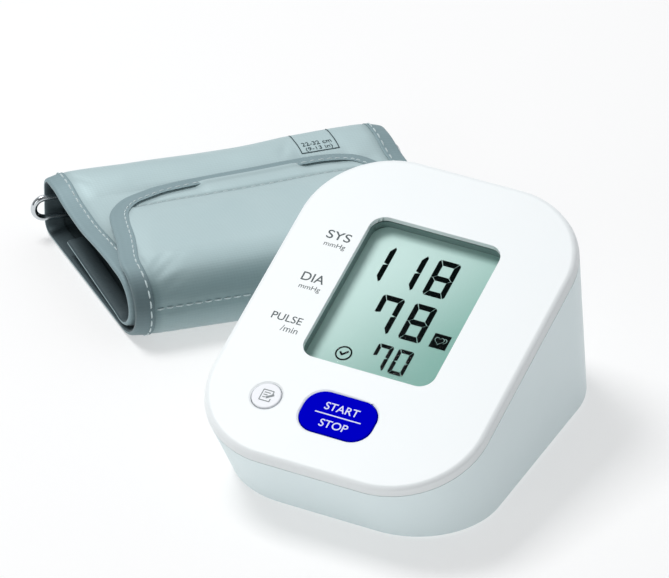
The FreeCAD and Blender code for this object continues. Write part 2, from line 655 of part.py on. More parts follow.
def case_screws():
    """Four screws along the face's normal, from the underside into the cover's posts."""
    screws = []
    for name, u, v, seat, rise in screw_places():
        neck = f"({seat} - boss_seat)"
        shank = rod(f"case_shank_{name}", "case_screw", "boss_seat + case_screw_grip", (u, v, neck))
        head = rod(f"case_head_{name}", "case_head", "case_head_height", (u, v, f"{neck} - case_head_height"))
        screws.append(fuse(f"case_screw_{name}", [shank, head]))
    return on_face(group("case_screws", screws))


def feet():
    """Four rubber feet in their recesses."""
    return group("feet", [rod(f"foot_{name}", "foot_radius", "foot_height + foot_sunk", (x, y, "0"))
                          for name, x, y in foot_places()])


# Display and circuit board

def display_window():
    """The clear lens behind the opening."""
    body = new_body("display_window")
    rounded_block(body, "lens", "window_width + 2 * lens_overlap", "window_length + 2 * lens_overlap",
                  "window_radius + lens_overlap", LENS_UNDER, "lens_thickness", v="window_v")
    return on_face(body)


def lcd_frame():
    """The dark frame from the lens down to the board, stepped to hold the glass."""
    outer = new_body("frame_outer")
    rounded_block(outer, "frame_outline", f"{GLASS_X} + 2 * glass_gap + 2 * frame_wall",
                  f"{GLASS_Y} + 2 * glass_gap + 2 * frame_wall", "window_radius", BOARD_TOP,
                  f"{LENS_UNDER} - {BOARD_TOP}", v="window_v")
    opening = new_body("frame_opening")
    rounded_block(opening, "frame_mouth", "window_width + 2 * frame_step", "window_length + 2 * frame_step",
                  "window_radius + frame_step", BOARD_TOP, f"board_depth + {PAST}", v="window_v")
    pocket = box("frame_pocket", (f"{GLASS_X} + 2 * glass_gap", f"{GLASS_Y} + 2 * glass_gap",
                                  "board_depth - glass_depth"), ("0", "window_v", BOARD_TOP))
    return on_face(cut("lcd_frame", outer, [opening, pocket]))


def lcd_panel():
    """The display glass, up against the frame's step."""
    return on_face_box("lcd_panel", (GLASS_X, GLASS_Y, "glass_thickness"), "0", "window_v",
                       "-glass_depth - glass_thickness")


def on_face_box(name, size, u, v, w):
    """A box in the face frame, on the middle of its underside."""
    item = doc.addObject("Part::Box", name)
    bind(item, Length=size[0], Width=size[1], Height=size[2])
    return on_face(item, f"{u} - ({size[0]}) / 2", f"{v} - ({size[1]}) / 2", w)


def lcd_connectors():
    """Two rubber strips that join the glass to the board."""
    strips = [box(f"strip_{name}", (GLASS_X, "strip_width", "board_depth - glass_depth - glass_thickness"),
                  ("0", f"window_v {sign} ({GLASS_Y} - strip_width) / 2", BOARD_TOP))
              for name, sign in (("top", "+"), ("bottom", "-"))]
    return on_face(group("lcd_connectors", strips))


def main_board():
    """The circuit board under the cover's posts."""
    board = new_body("board_plate")
    rounded_block(board, "board_outline", "board_width", "board_length", "board_radius", BOARD_UNDER,
                  "board_thickness")
    holes = [rod(f"board_hole_{name}", "small_screw + screw_gap", f"board_thickness + 2 * {PAST}",
                 (u, v, f"{BOARD_UNDER} - {PAST}")) for name, u, v in post_places()]
    return on_face(cut("main_board", board, holes))


def board_screws():
    """Four screws up through the board into the cover's posts."""
    screws = []
    for name, u, v in post_places():
        shank = rod(f"board_shank_{name}", "small_screw", "small_length", (u, v, BOARD_UNDER))
        head = rod(f"board_head_{name}", "small_head", "small_head_height",
                   (u, v, f"{BOARD_UNDER} - small_head_height"))
        screws.append(fuse(f"board_screw_{name}", [shank, head]))
    return on_face(group("board_screws", screws))


def controller_chip():
    """The controller on the underside of the board."""
    return on_face_box("controller_chip", ("chip_side", "chip_side", "chip_height"), "0", "chip_v",
                       f"{BOARD_UNDER} - chip_height")


def switch(name, u):
    """A push switch on the board, with the bore that its plunger slides in."""
    body = box(f"{name}_block", ("switch_side", "switch_side", "switch_height"), (u, "button_v", BOARD_TOP))
    depth = "(plunger_depth + button_travel + plunger_gap)"
    bore = rod(f"{name}_bore", "plunger_radius + plunger_gap", f"{depth} + {PAST}",
               (u, "button_v", f"{SWITCH_TOP} - {depth}"))
    return on_face(cut(name, body, [bore]))


def plunger(name, u):
    """The switch's own plunger, under the button's stem."""
    item = doc.addObject("Part::Cylinder", name)
    bind(item, Radius="plunger_radius", Height="plunger_rise + plunger_depth")
    return on_face(item, u, "button_v", f"{SWITCH_TOP} - plunger_depth")


def start_button():
    """The wide start and stop button with its flange and stem."""
    body = new_body("start_button")
    top = rounded_block(body, "start_cap", "start_width", "start_length", "start_radius", FLANGE_UNDER,
                        f"button_proud - {FLANGE_UNDER}", v="button_v")
    round_edges(body, top, "button_edge", at_level(value("button_proud")))
    rounded_block(body, "start_flange", "start_width + 2 * button_gap + 2 * flange_reach",
                  "start_length + 2 * button_gap + 2 * flange_reach",
                  "start_radius + button_gap + flange_reach", FLANGE_UNDER, "flange_thickness", v="button_v")
    stem_from(body, "start_stem", "0")
    return on_face(body)


def memory_button():
    """The round memory button with its flange and stem."""
    body = new_body("memory_button")
    sketch = sketch_on(body, "memory_cap", "memory_u", "button_v", FLANGE_UNDER)
    top = pad(body, circle(sketch, "memory_radius"), f"button_proud - {FLANGE_UNDER}")
    round_edges(body, top, "button_edge", at_level(value("button_proud")))
    sketch = sketch_on(body, "memory_flange", "memory_u", "button_v", FLANGE_UNDER)
    pad(body, circle(sketch, "memory_radius + button_gap + flange_reach"), "flange_thickness")
    stem_from(body, "memory_stem", "memory_u")
    return on_face(body)


def stem_from(body, name, u):
    """Pad a button's stem from the switch plunger up to the flange."""
    bottom = f"({SWITCH_TOP} + plunger_rise)"
    sketch = sketch_on(body, name, u, "button_v", bottom)
    pad(body, circle(sketch, "stem_radius"), f"{FLANGE_UNDER} + flange_thickness / 2 - {bottom}")


# Batteries and their door

def cell_y(index):
    """The place across the bay of one battery."""
    return f"bay_y + ({index} - {(CELLS + 1) / 2}) * cell_pitch"


def cell(index):
    """One battery; neighbours lie head to tail."""
    y = cell_y(index)
    if index % 2:
        start = f"-{BAY_X} / 2 + leaf_depth"
        nub_start = f"{start} + cell_length"
    else:
        start = f"{BAY_X} / 2 - leaf_depth - cell_length"
        nub_start = f"{start} - cell_nub"
    can = rod(f"cell_can_{index}", "cell_radius", "cell_length", (start, y, CELL_Z), "x")
    nub = rod(f"cell_nub_{index}", "cell_nub_radius", "cell_nub", (nub_start, y, CELL_Z), "x")
    return fuse(f"battery_{index}", [can, nub])


def contact_plate(name, index, side, depth):
    """A contact plate of one battery, a depth in from the bay's end wall on one side."""
    x = f"{side} * ({BAY_X} / 2 - {depth} - contact_sheet / 2)"
    return box(f"{name}_{index}", ("contact_sheet", "contact_side", "contact_side"),
               (x, cell_y(index), f"{CELL_Z} - contact_side / 2"))


def battery_flat_contacts():
    """Flat plates against the batteries' nubs."""
    return group("battery_flat_contacts", [contact_plate("flat_plate", index, "1" if index % 2 else "-1", "0")
                                           for index in range(1, CELLS + 1)])


def battery_leaf_contacts():
    """Folded leaves against the batteries' flat ends."""
    leaves = []
    for index in range(1, CELLS + 1):
        side = "-1" if index % 2 else "1"
        back = contact_plate("leaf_back", index, side, "0")
        front = contact_plate("leaf_front", index, side, "(leaf_depth - contact_sheet)")
        fold = box(f"leaf_fold_{index}", ("leaf_depth", "contact_side", "contact_sheet"),
                   (f"{side} * ({BAY_X} - leaf_depth) / 2", cell_y(index),
                    f"{CELL_Z} + contact_side / 2 - contact_sheet"))
        leaves.append(fuse(f"leaf_{index}", [back, front, fold]))
    return group("battery_leaf_contacts", leaves)


def battery_door():
    """The door under the batteries: plate, hinge barrel and pins, latch tab and finger groove."""
    rear = f"(bay_y + {DOOR_Y} / 2)"
    plate = box("door_plate", (DOOR_X, f"{rear} - {HINGE_Y}", DOOR_Z),
                ("0", f"({rear} + {HINGE_Y}) / 2", "foot_height"))
    barrel = rod("door_barrel", f"{DOOR_Z} / 2", DOOR_X, (f"-{DOOR_X} / 2", HINGE_Y, HINGE_Z), "x")
    pins = rod("door_pins", "hinge_pin", f"{DOOR_X} + 2 * hinge_pin_length",
               (f"-{DOOR_X} / 2 - hinge_pin_length", HINGE_Y, HINGE_Z), "x")
    latch = box("door_latch", ("latch_width", "latch_sheet", "latch_height"),
                ("0", f"{rear} - latch_sheet / 2", f"foot_height + {DOOR_Z}"))
    groove = box("door_groove", ("latch_width", "grip_length", f"grip_depth + {PAST}"),
                 ("0", f"{rear} - grip_length", f"foot_height - {PAST}"))
    return cut("battery_door", fuse("door_solid", [plate, barrel, pins, latch]), [groove])


# Pump, valve, sensor and sockets

def spigot(name, start, axis, length="spigot_length"):
    """A hose spigot."""
    return rod(name, "spigot_radius", length, start, axis)


def air_jack():
    """The air socket in the left wall."""
    body = rod("jack_body", "jack_radius", "jack_length", (JACK_OUT, "air_y", "air_z"), "x")
    bore = rod("jack_hole", "jack_bore", f"jack_depth + {PAST}",
               (f"{JACK_OUT} - {PAST}", "air_y", "air_z"), "x")
    tail = spigot("jack_spigot", (JACK_IN, "air_y", "air_z"), "x")
    return cut("air_jack", fuse("jack_solid", [body, tail]), [bore])


def power_jack():
    """The power socket in the rear wall."""
    nose_end = f"({POWER_WALL} - power_recess)"
    nose = rod("power_barrel", "power_nose", "power_length",
               ("power_x", f"{nose_end} - power_length", "power_z"), "y")
    body = box("power_block", ("power_body", "power_body", "power_body"),
               ("power_x", f"{nose_end} - power_length", "power_z - power_body / 2"))
    bore = rod("power_hollow", "power_bore", f"power_depth + {PAST}",
               ("power_x", f"{nose_end} - power_depth", "power_z"), "y")
    return cut("power_jack", fuse("power_solid", [nose, body]), [bore])


def power_pin():
    """The contact pin inside the power socket."""
    return rod("power_pin", "power_pin", "power_depth - power_recess",
               ("power_x", f"{POWER_WALL} - power_recess - power_depth", "power_z"), "y")


def air_manifold():
    """The block where socket, pump, valve and sensor meet."""
    block = box("manifold_block", ("manifold_side", "manifold_side", "manifold_side"),
                (MANIFOLD_X, "air_y", "air_z - manifold_side / 2"))
    half = "manifold_side / 2"
    return fuse("air_manifold", [
        block,
        spigot("manifold_spigot_left", (f"{MANIFOLD_X} - {half} - spigot_length", "air_y", "air_z"), "x"),
        spigot("manifold_spigot_right", (f"{MANIFOLD_X} + {half}", "air_y", "air_z"), "x"),
        spigot("manifold_spigot_front", (MANIFOLD_X, f"air_y - {half}", "air_z"), "-y"),
        spigot("manifold_spigot_top", (MANIFOLD_X, "air_y", MANIFOLD_TOP), "z")])


def straight_hose(name, start, axis):
    """A short hose over two spigots that face each other."""
    length = "2 * spigot_length + spigot_apart - 2 * hose_gap"
    return cut(name, rod(f"{name}_outside", HOSE_OUTER, length, start, axis),
               [rod(f"{name}_bore", HOSE_INNER, length, start, axis)])


def sensor_hose():
    """The bent hose from the manifold up to the pressure sensor."""
    solids = []
    for name, radius in (("outside", HOSE_OUTER), ("bore", HOSE_INNER)):
        riser = rod(f"sensor_riser_{name}", radius, "hose_rise - hose_gap",
                    (MANIFOLD_X, "air_y", f"{MANIFOLD_TOP} + hose_gap"))
        bend = doc.addObject("Part::Torus", f"sensor_bend_{name}")
        bind(bend, Radius1="hose_bend", Radius2=radius, Angle3="face_tilt")
        bend.Placement.Rotation = FreeCAD.Rotation(Y_AXIS, Z_AXIS, X_AXIS, "YZX")
        bind(bend, Placement__Base__x=MANIFOLD_X, Placement__Base__y="air_y - hose_bend",
             Placement__Base__z=BEND_Z)
        end = normal_rod(f"sensor_end_{name}", radius, f"{SENSOR_UNDER} - hose_gap - {BEND_END_W}",
                         MANIFOLD_X, BEND_END_V, BEND_END_W)
        solids.append(fuse(f"sensor_hose_{name}", [riser, bend, end]))
    return cut("sensor_hose", solids[0], [solids[1]])


def pressure_sensor():
    """The sensor under the board, with its spigot in the hose."""
    block = box("sensor_block", ("sensor_side", "sensor_side", "sensor_height"),
                (MANIFOLD_X, BEND_END_V, SENSOR_UNDER))
    nose = spigot("sensor_nose", (MANIFOLD_X, BEND_END_V, f"{SENSOR_UNDER} - sensor_spigot"), "z",
                  "sensor_spigot")
    return on_face(fuse("pressure_sensor", [block, nose]))


def pump_head():
    """The pump head, with the chamber that the eccentric turns in."""
    body = rod("head_body", "head_radius", "head_length", (PUMP_X, "pump_y", PUMP_Z), "x")
    outlet = spigot("head_spigot", (f"{PUMP_X} - spigot_length", "air_y", "air_z"), "x")
    chamber = rod("head_chamber", "chamber_radius", f"chamber_depth + {PAST}",
                  (f"{MOTOR_X} - chamber_depth", "pump_y", PUMP_Z), "x")
    return cut("pump_head", fuse("head_solid", [body, outlet]), [chamber])


def pump_motor():
    """The motor can, bored for its shaft."""
    can = rod("motor_can", "motor_radius", "motor_length", (MOTOR_X, "pump_y", PUMP_Z), "x")
    depth = "(shaft_length - cam_length - cam_gap + shaft_end)"
    bore = rod("motor_bore", "shaft_radius + shaft_gap", f"{depth} + {PAST}",
               (f"{MOTOR_X} - {PAST}", "pump_y", PUMP_Z), "x")
    return cut("pump_motor", can, [bore])


def pump_shaft():
    """The shaft with its eccentric."""
    start = f"({MOTOR_X} - cam_length - cam_gap)"
    shaft = rod("shaft_bar", "shaft_radius", "shaft_length", (start, "pump_y", PUMP_Z), "x")
    cam = rod("shaft_cam", "cam_radius", "cam_length", (start, "pump_y", f"{PUMP_Z} + cam_offset"), "x")
    return fuse("pump_shaft", [shaft, cam])


def pump_cradle():
    """The foam cradle under the motor."""
    block = box("cradle_block",
                ("cradle_length", "2 * motor_radius + 2 * cradle_wall", "cradle_base + motor_radius"),
                (f"{MOTOR_X} + motor_length / 2", "pump_y", FLOOR_TOP))
    seat = rod("cradle_seat", "motor_radius + cradle_gap", f"cradle_length + 2 * {PAST}",
               (f"{MOTOR_X} + motor_length / 2 - cradle_length / 2 - {PAST}", "pump_y", PUMP_Z), "x")
    return cut("pump_cradle", block, [seat])


def release_valve():
    """The valve block on the floor, with the bore for its plunger."""
    block = box("valve_block", ("valve_width", "valve_length", f"{VALVE_TOP} - {FLOOR_TOP}"),
                (MANIFOLD_X, VALVE_Y, FLOOR_TOP))
    nose = spigot("valve_spigot", (MANIFOLD_X, VALVE_REAR, "air_z"), "y")
    bore = rod("valve_bore", "armature_radius + armature_gap", f"{VALVE_TOP} - {ARMATURE_Z} + {PAST}",
               (MANIFOLD_X, VALVE_Y, ARMATURE_Z))
    return cut("release_valve", fuse("valve_solid", [block, nose]), [bore])


def valve_plunger():
    """The iron plunger that lets the air out when it lifts."""
    return rod("valve_plunger", "armature_radius", "armature_length", (MANIFOLD_X, VALVE_Y, ARMATURE_Z))


def valve_cap():
    """The plate that closes the valve."""
    return box("valve_cap", ("valve_width", "valve_length", "cap_sheet"), (MANIFOLD_X, VALVE_Y, VALVE_TOP))


# Rolled cuff

class CuffRoll:
    """The cuff's section: one sheet that spirals in from the flap's free end to the ring.

    The section is drawn with s from the rear to the front and z up, and runs along the roll.
    """

    def __init__(self):
        half = value("cloth + cloth_gap + bladder / 2")
        self.half = half
        self.length = value("cuff_length")
        skew = math.radians(value("cuff_skew"))
        self.along = FreeCAD.Vector(math.cos(skew), -math.sin(skew), 0)
        rear, corner = value("rear_fold"), value("rear_corner")
        square = rear - corner
        flap_drop = value("flap_run * sin(flap_slope)")
        outer = rear + half + (value("layer_gap") + flap_drop) / 2
        run = value("cuff_run")
        self.front_s = half + rear + run
        reach = run + outer - rear - 2 * half - value("front_gap")
        slope = math.radians(value("top_slope"))
        inner = rear - half - value("inside_gap") / 2
        top_run = reach + rear - inner + square
        inner -= top_run * math.sin(slope) / 2
        start_s = self.front_s - value("flap_run * cos(flap_slope)") - outer * value("sin(flap_slope)")
        self.start = (start_s, half + 2 * outer - flap_drop)
        self.heading = value("flap_slope")
        self.moves = [("run", value("flap_run")), ("fold", outer, 180 + value("flap_slope")),
                      ("run", run + square), ("fold", corner, 90), ("run", 2 * square),
                      ("fold", corner, 90 + value("top_slope")), ("run", top_run),
                      ("fold", inner, 180 - value("top_slope") + value("inner_slope")),
                      ("run", value("inner_run"))]
        self.ring = (2 * half + value("ring_room + ring_wire + webbing_gap + webbing"), half + rear)
        self.under_flap = 2 * half + 2 * rear

    def states(self):
        """Point and heading at the start of each move, and at the end."""
        s, z = self.start
        heading = self.heading
        found = [(s, z, heading)]
        for move in self.moves:
            s, z, heading = self.after(s, z, heading, move)
            found.append((s, z, heading))
        return found

    @staticmethod
    def after(s, z, heading, move):
        """Point and heading after one move."""
        angle = math.radians(heading)
        if move[0] == "run":
            return s + move[1] * math.cos(angle), z + move[1] * math.sin(angle), heading
        radius, turn = move[1], move[2]
        centre_s, centre_z = s + radius * math.sin(angle), z - radius * math.cos(angle)
        angle -= math.radians(turn)
        return centre_s - radius * math.sin(angle), centre_z + radius * math.cos(angle), heading - turn

    def line(self, first, moves, offset):
        """Edges of the section's line, moved out by an offset."""
        s, z, heading = first
        edges = []
        for move in moves:
            steps = [move] if move[0] == "run" else [("fold", move[1], move[2] / 2)] * 2
            for step in steps:
                ends = [self.moved(s, z, heading, offset)]
                middle = self.after(s, z, heading, (step[0], step[1] / 2) if step[0] == "run"
                                    else (step[0], step[1], step[2] / 2))
                s, z, heading = self.after(s, z, heading, step)
                ends.append(self.moved(s, z, heading, offset))
                if step[0] == "run":
                    edges.append(Part.makeLine(*ends))
                else:
                    edges.append(Part.Arc(ends[0], self.moved(*middle, offset), ends[1]).toShape())
        return edges

    @staticmethod
    def moved(s, z, heading, offset):
        """A point of the line, an offset to its outer side."""
        angle = math.radians(heading)
        return FreeCAD.Vector(0, -(s - offset * math.sin(angle)), z + offset * math.cos(angle))

    def strip(self, first, moves, low, high, start, end):
        """A solid between two offsets of the line, from one place along the roll to another."""
        outside = self.line(first, moves, high)
        inside = self.line(first, moves, low)
        ends = [Part.makeLine(inside[0].Vertexes[0].Point, outside[0].Vertexes[0].Point),
                Part.makeLine(inside[-1].Vertexes[-1].Point, outside[-1].Vertexes[-1].Point)]
        wire = Part.Wire(Part.__sortEdges__(outside + inside + ends))
        face = Part.Face(wire)
        face.translate(self.along * start)
        return face.extrude(self.along * (end - start))

    def point(self, along, s, z):
        """A point a distance along the roll, s from its rear and z up."""
        return self.along * along + FreeCAD.Vector(0, -s, z)

    @staticmethod
    def over(point, corner):
        """Whether a point stands over a corner of the plan."""
        return math.hypot(point.x - corner.x, point.y - corner.y) < 0.001

    def flap_trim(self):
        """What is cut from the layers so that the flap tapers to a tongue with round corners."""
        level = self.under_flap + value("layer_gap") / 2
        height = 4 * value("rear_fold")
        taper, end = self.front_s + self.half, self.start[0]
        inset = value("flap_inset")
        corners = [self.point(0, taper, level), self.point(inset, end, level),
                   self.point(self.length - inset, end, level), self.point(self.length, taper, level)]
        tongue = Part.Face(Part.makePolygon(corners + corners[:1])).extrude(Z_AXIS * height)
        upright = [edge for edge in tongue.Edges
                   if abs(edge.tangentAt(edge.FirstParameter).z) > 0.5
                   and any(self.over(edge.Vertexes[0].Point, corner) for corner in corners[1:3])]
        tongue = tongue.makeFillet(value("flap_corner"), upright)
        side = self.length
        block = [self.point(-side, taper, level), self.point(-side, -side, level),
                 self.point(2 * side, -side, level), self.point(2 * side, taper, level)]
        return Part.Face(Part.makePolygon(block + block[:1])).extrude(Z_AXIS * height).cut(tongue)


def cuff_feature(name, shape):
    """Put a cuff piece in the document, in the cuff's own frame."""
    item = doc.addObject("Part::Feature", name)
    item.Shape = shape
    return place(item, "cuff_x", "cuff_y", "0", Z_AXIS, "cuff_turn")


def cuff_cloths(roll):
    """Outer cloth, inner cloth and the two end bindings."""
    first = roll.states()[0]
    half, cloth, binding = roll.half, value("cloth"), value("binding")
    trim = roll.flap_trim()
    layers = {
        "cuff_outer_cloth": (half - cloth, half, binding, roll.length - binding),
        "cuff_inner_cloth": (-half, cloth - half, binding, roll.length - binding),
        "cuff_binding_left": (-half, half, 0, binding),
        "cuff_binding_right": (-half, half, roll.length - binding, roll.length),
    }
    return [cuff_feature(name, roll.strip(first, roll.moves, *layer).cut(trim))
            for name, layer in layers.items()]


def cuff_bladder(roll):
    """The air bladder between the cloths, round the rear fold."""
    margin = value("bladder_margin")
    start = roll.after(*roll.states()[2], ("run", margin))
    moves = [("run", roll.moves[2][1] - margin), *roll.moves[3:6], ("run", roll.moves[6][1] - margin)]
    inset = value("binding") + margin
    thick = value("bladder") / 2
    return cuff_feature("cuff_bladder", roll.strip(start, moves, -thick, thick, inset, roll.length - inset))


def cuff_hook_patch(roll):
    """The hook patch under the flap's free end."""
    margin = value("hook_margin")
    start = roll.after(*roll.states()[0], ("run", margin))
    inset = value("flap_inset") + margin
    patch = roll.strip(start, [("run", value("hook_length"))], -roll.half - value("hook_sheet"), -roll.half,
                       inset, roll.length - inset)
    return cuff_feature("cuff_hook_patch", patch)


def cuff_ring(roll):
    """The wire ring that the cuff's end is threaded through, standing in the rear fold."""
    s, middle = roll.ring
    half, out, wire = value("ring_half"), value("ring_out"), value("ring_wire")
    left, right = -out, roll.length + out
    up = Z_AXIS * half
    ends = [roll.point(left, s, middle), roll.point(right, s, middle)]
    path = Part.Wire([
        Part.makeLine(ends[0] - up, ends[1] - up),
        Part.Arc(ends[1] - up, ends[1] + roll.along * half, ends[1] + up).toShape(),
        Part.makeLine(ends[1] + up, ends[0] + up),
        Part.Arc(ends[0] + up, ends[0] - roll.along * half, ends[0] - up).toShape()])
    profile = Part.Wire([Part.makeCircle(wire, ends[0] - up, roll.along)])
    return cuff_feature("cuff_ring", path.makePipeShell([profile], True, False))


def cuff_ring_webbing(roll):
    """The webbing that loops round the ring's lower bar and is sewn to the inner layer's end."""
    s, middle = roll.ring
    z = middle - value("ring_half")
    inset = value("webbing_inset")
    inside = value("ring_wire + webbing_gap")
    outside = inside + value("webbing")
    start = roll.point(inset, s, z)
    long = roll.length - 2 * inset
    tail_end = roll.states()[-1][0] - value("webbing_gap")
    tail = [roll.point(inset, s, z + inside), roll.point(inset, tail_end, z + inside),
            roll.point(inset, tail_end, z + outside), roll.point(inset, s, z + outside)]
    strap = Part.Face(Part.makePolygon(tail + tail[:1])).extrude(roll.along * long)
    loop = Part.makeCylinder(outside, long, start, roll.along).fuse(strap)
    return cuff_feature("cuff_ring_webbing", loop.cut(Part.makeCylinder(inside, long, start, roll.along)))


def cuff_hose_port(roll):
    """The barrel on the right end of the inner layer, with the spigot that the air hose pushes onto."""
    s, z, heading = roll.after(*roll.states()[-2], ("run", value("port_run")))
    level = z + roll.half + value("port_barrel + port_gap")
    back = roll.length - value("port_in")
    collar = roll.length + value("port_collar")
    tip = collar + value("port_out")

    def bar(radius, start, end):
        return Part.makeCylinder(value(radius), end - start, roll.point(start, s, level), roll.along)

    solid = bar("port_barrel", back, collar).fuse(bar("port_spigot", collar, tip))
    return cuff_feature("cuff_hose_port", solid.cut(bar("port_bore", back, tip)))


def build():
    """Make every piece and return those that are written out."""
    roll = CuffRoll()
    hose_front = (MANIFOLD_X, "air_y - manifold_side / 2 - hose_gap", "air_z")
    pieces = [
        lower_case(), front_cover(), case_screws(), feet(),
        display_window(), lcd_frame(), lcd_panel(), lcd_connectors(),
        main_board(), board_screws(), controller_chip(),
        switch("start_switch", "0"), plunger("start_plunger", "0"), start_button(),
        switch("memory_switch", "memory_u"), plunger("memory_plunger", "memory_u"), memory_button(),
        battery_flat_contacts(), battery_leaf_contacts(), battery_door(),
        air_jack(), power_jack(), power_pin(), air_manifold(),
        straight_hose("jack_hose", (f"{JACK_IN} + hose_gap", "air_y", "air_z"), "x"),
        straight_hose("pump_hose", (f"{MANIFOLD_X} + manifold_side / 2 + hose_gap", "air_y", "air_z"), "x"),
        straight_hose("valve_hose", hose_front, "-y"), sensor_hose(), pressure_sensor(),
        pump_head(), pump_motor(), pump_shaft(), pump_cradle(),
        release_valve(), valve_plunger(), valve_cap(),
        cuff_bladder(roll), cuff_hook_patch(roll), cuff_ring(roll), cuff_ring_webbing(roll),
        cuff_hose_port(roll),
    ]
    pieces += [cell(index) for index in range(1, CELLS + 1)]
    pieces += cuff_cloths(roll)
    return pieces


def write(pieces):
    """Check every object, then write each piece to its own file."""
    doc.recompute()
    failed = [item.Name for item in doc.Objects if {"Invalid", "Error"} & set(item.State)]
    failed += [item.Name for item in pieces if item.Shape.isNull() or not item.Shape.isValid()]
    if failed:
        raise RuntimeError("these pieces failed: " + ", ".join(failed))
    os.makedirs("parts", exist_ok=True)
    for item in pieces:
        item.Label = item.Name
        item.Shape.exportStep(f"parts/{item.Label}.step")
        solids = item.Shape.Solids
        print(f"{item.Label}: {len(solids)} solid, {sum(solid.Volume for solid in solids):.0f} mm3")


write(build())
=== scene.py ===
"""Looks of an upper-arm blood pressure monitor: the desk unit and its rolled arm cuff.

Metres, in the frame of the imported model: +X to the user's right, +Y away from the user, +Z up.
Sizes are written in millimetres and turned to metres with MM.
"""
from __future__ import annotations

import json
import logging
import math
from contextlib import contextmanager
from dataclasses import dataclass, field
from enum import Enum
from typing import Callable, Iterable, Iterator, Sequence

import bpy
from mathutils import Matrix, Vector, noise

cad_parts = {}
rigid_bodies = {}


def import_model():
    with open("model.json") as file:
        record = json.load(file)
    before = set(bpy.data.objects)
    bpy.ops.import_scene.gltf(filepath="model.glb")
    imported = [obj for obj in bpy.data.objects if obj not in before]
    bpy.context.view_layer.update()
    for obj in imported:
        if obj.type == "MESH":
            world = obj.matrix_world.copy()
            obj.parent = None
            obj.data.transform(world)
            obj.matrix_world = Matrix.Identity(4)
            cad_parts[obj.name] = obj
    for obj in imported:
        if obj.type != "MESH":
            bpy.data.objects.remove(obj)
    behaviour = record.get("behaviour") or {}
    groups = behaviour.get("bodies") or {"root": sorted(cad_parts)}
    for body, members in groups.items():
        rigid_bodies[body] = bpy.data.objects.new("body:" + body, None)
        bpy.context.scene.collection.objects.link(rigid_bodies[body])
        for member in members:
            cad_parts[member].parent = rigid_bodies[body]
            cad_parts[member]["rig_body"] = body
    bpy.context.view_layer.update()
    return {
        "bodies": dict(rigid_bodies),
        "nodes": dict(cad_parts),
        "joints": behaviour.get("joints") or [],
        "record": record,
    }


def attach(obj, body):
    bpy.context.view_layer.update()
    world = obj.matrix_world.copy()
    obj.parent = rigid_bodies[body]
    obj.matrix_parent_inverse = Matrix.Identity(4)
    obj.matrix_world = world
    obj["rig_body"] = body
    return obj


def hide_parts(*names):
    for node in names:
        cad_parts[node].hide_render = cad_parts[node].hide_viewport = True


MM = 0.001
WELD = 0.002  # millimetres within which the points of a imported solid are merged
LOG = logging.getLogger("monitor")
Piece = bpy.types.Object
Tree = bpy.types.NodeTree
Node = bpy.types.Node
Socket = bpy.types.NodeSocket
Pair = tuple[float, float]
Triple = tuple[float, float, float]
Outline = Sequence[Pair]


# Tools for materials

def colour_of(code: str) -> tuple[float, float, float, float]:
    """Turn an sRGB hex value into a linear colour.

    Args:
        code: six hex digits after a number sign.

    Returns:
        Linear red, green and blue, and an alpha of one.
    """
    linear = []
    for start in (1, 3, 5):
        part = int(code[start:start + 2], 16) / 255
        linear.append(part / 12.92 if part <= 0.04045 else ((part + 0.055) / 1.055) ** 2.4)
    return linear[0], linear[1], linear[2], 1.0


def wave_scale(spacing: float) -> float:
    """Scale of a wave texture whose bands lie a spacing in millimetres apart."""
    return math.pi / 10 / (spacing * MM)


def feed(node: Node, sockets: dict) -> None:
    """Set and link a node's sockets.

    Args:
        node: the node.
        sockets: its sockets by name or number, each with a constant or with the output that feeds it.
    """
    for name, value in sockets.items():
        if isinstance(value, Socket):
            node.id_data.links.new(value, node.inputs[name])
        else:
            node.inputs[name].default_value = value


def add_node(tree: Tree, kind: str, sockets: dict | None = None, **settings: object) -> Node:
    """Add a shader node with its settings and links.

    Args:
        tree: node tree that the node goes into.
        kind: Blender's name of the node, after ShaderNode.
        sockets: its sockets by name or number, each with a constant or with the output that feeds it.
        settings: properties of the node, by name.

    Returns:
        The new node.
    """
    node = tree.nodes.new(f"ShaderNode{kind}")
    for name, value in settings.items():
        setattr(node, name, value)
    feed(node, sockets or {})
    return node


@dataclass(frozen=True)
class Finish:
    """What every finish has: a name, the record's slot that it belongs to, a colour and a roughness."""

    name: str
    slot: str
    colour: str
    roughness: float

    # texture coordinates that the pattern lies on
    coordinates = "Object"

    def make(self) -> bpy.types.Material:
        """Build the material, or hand back the one that was built before.

        Returns:
            The material.
        """
        made = bpy.data.materials.get(self.name)
        if made:
            return made
        material = bpy.data.materials.new(self.name)
        material.use_nodes = True
        tree = material.node_tree
        shader = tree.nodes["Principled BSDF"]
        feed(shader, {"Base Color": colour_of(self.colour), "Roughness": self.roughness})
        self.dress(tree, shader, add_node(tree, "TexCoord").outputs[self.coordinates])
        return material

    def dress(self, tree: Tree, shader: Node, place: Socket) -> None:
        """Add the pattern and the gloss of this finish.

        Args:
            tree: node tree of the material.
            shader: its surface shader.
            place: coordinates that the pattern lies on.
        """

    def blotches(self, tree: Tree, place: Socket, other: str, size: float) -> Socket:
        """Let the colour drift towards another one in soft patches.

        Args:
            tree: node tree of the material.
            place: coordinates that the patches lie on.
            other: sRGB hex value that the patches drift to.
            size: size of a patch in millimetres.

        Returns:
            The mixed colour.
        """
        patches = add_node(tree, "TexNoise", {
            "Vector": place, "Scale": 1 / (size * MM), "Detail": 3.0, "Roughness": 0.55})
        return add_node(tree, "Mix", {
            "Factor": patches.outputs["Fac"], 6: colour_of(self.colour), 7: colour_of(other)},
            data_type="RGBA").outputs[2]


# Finishes

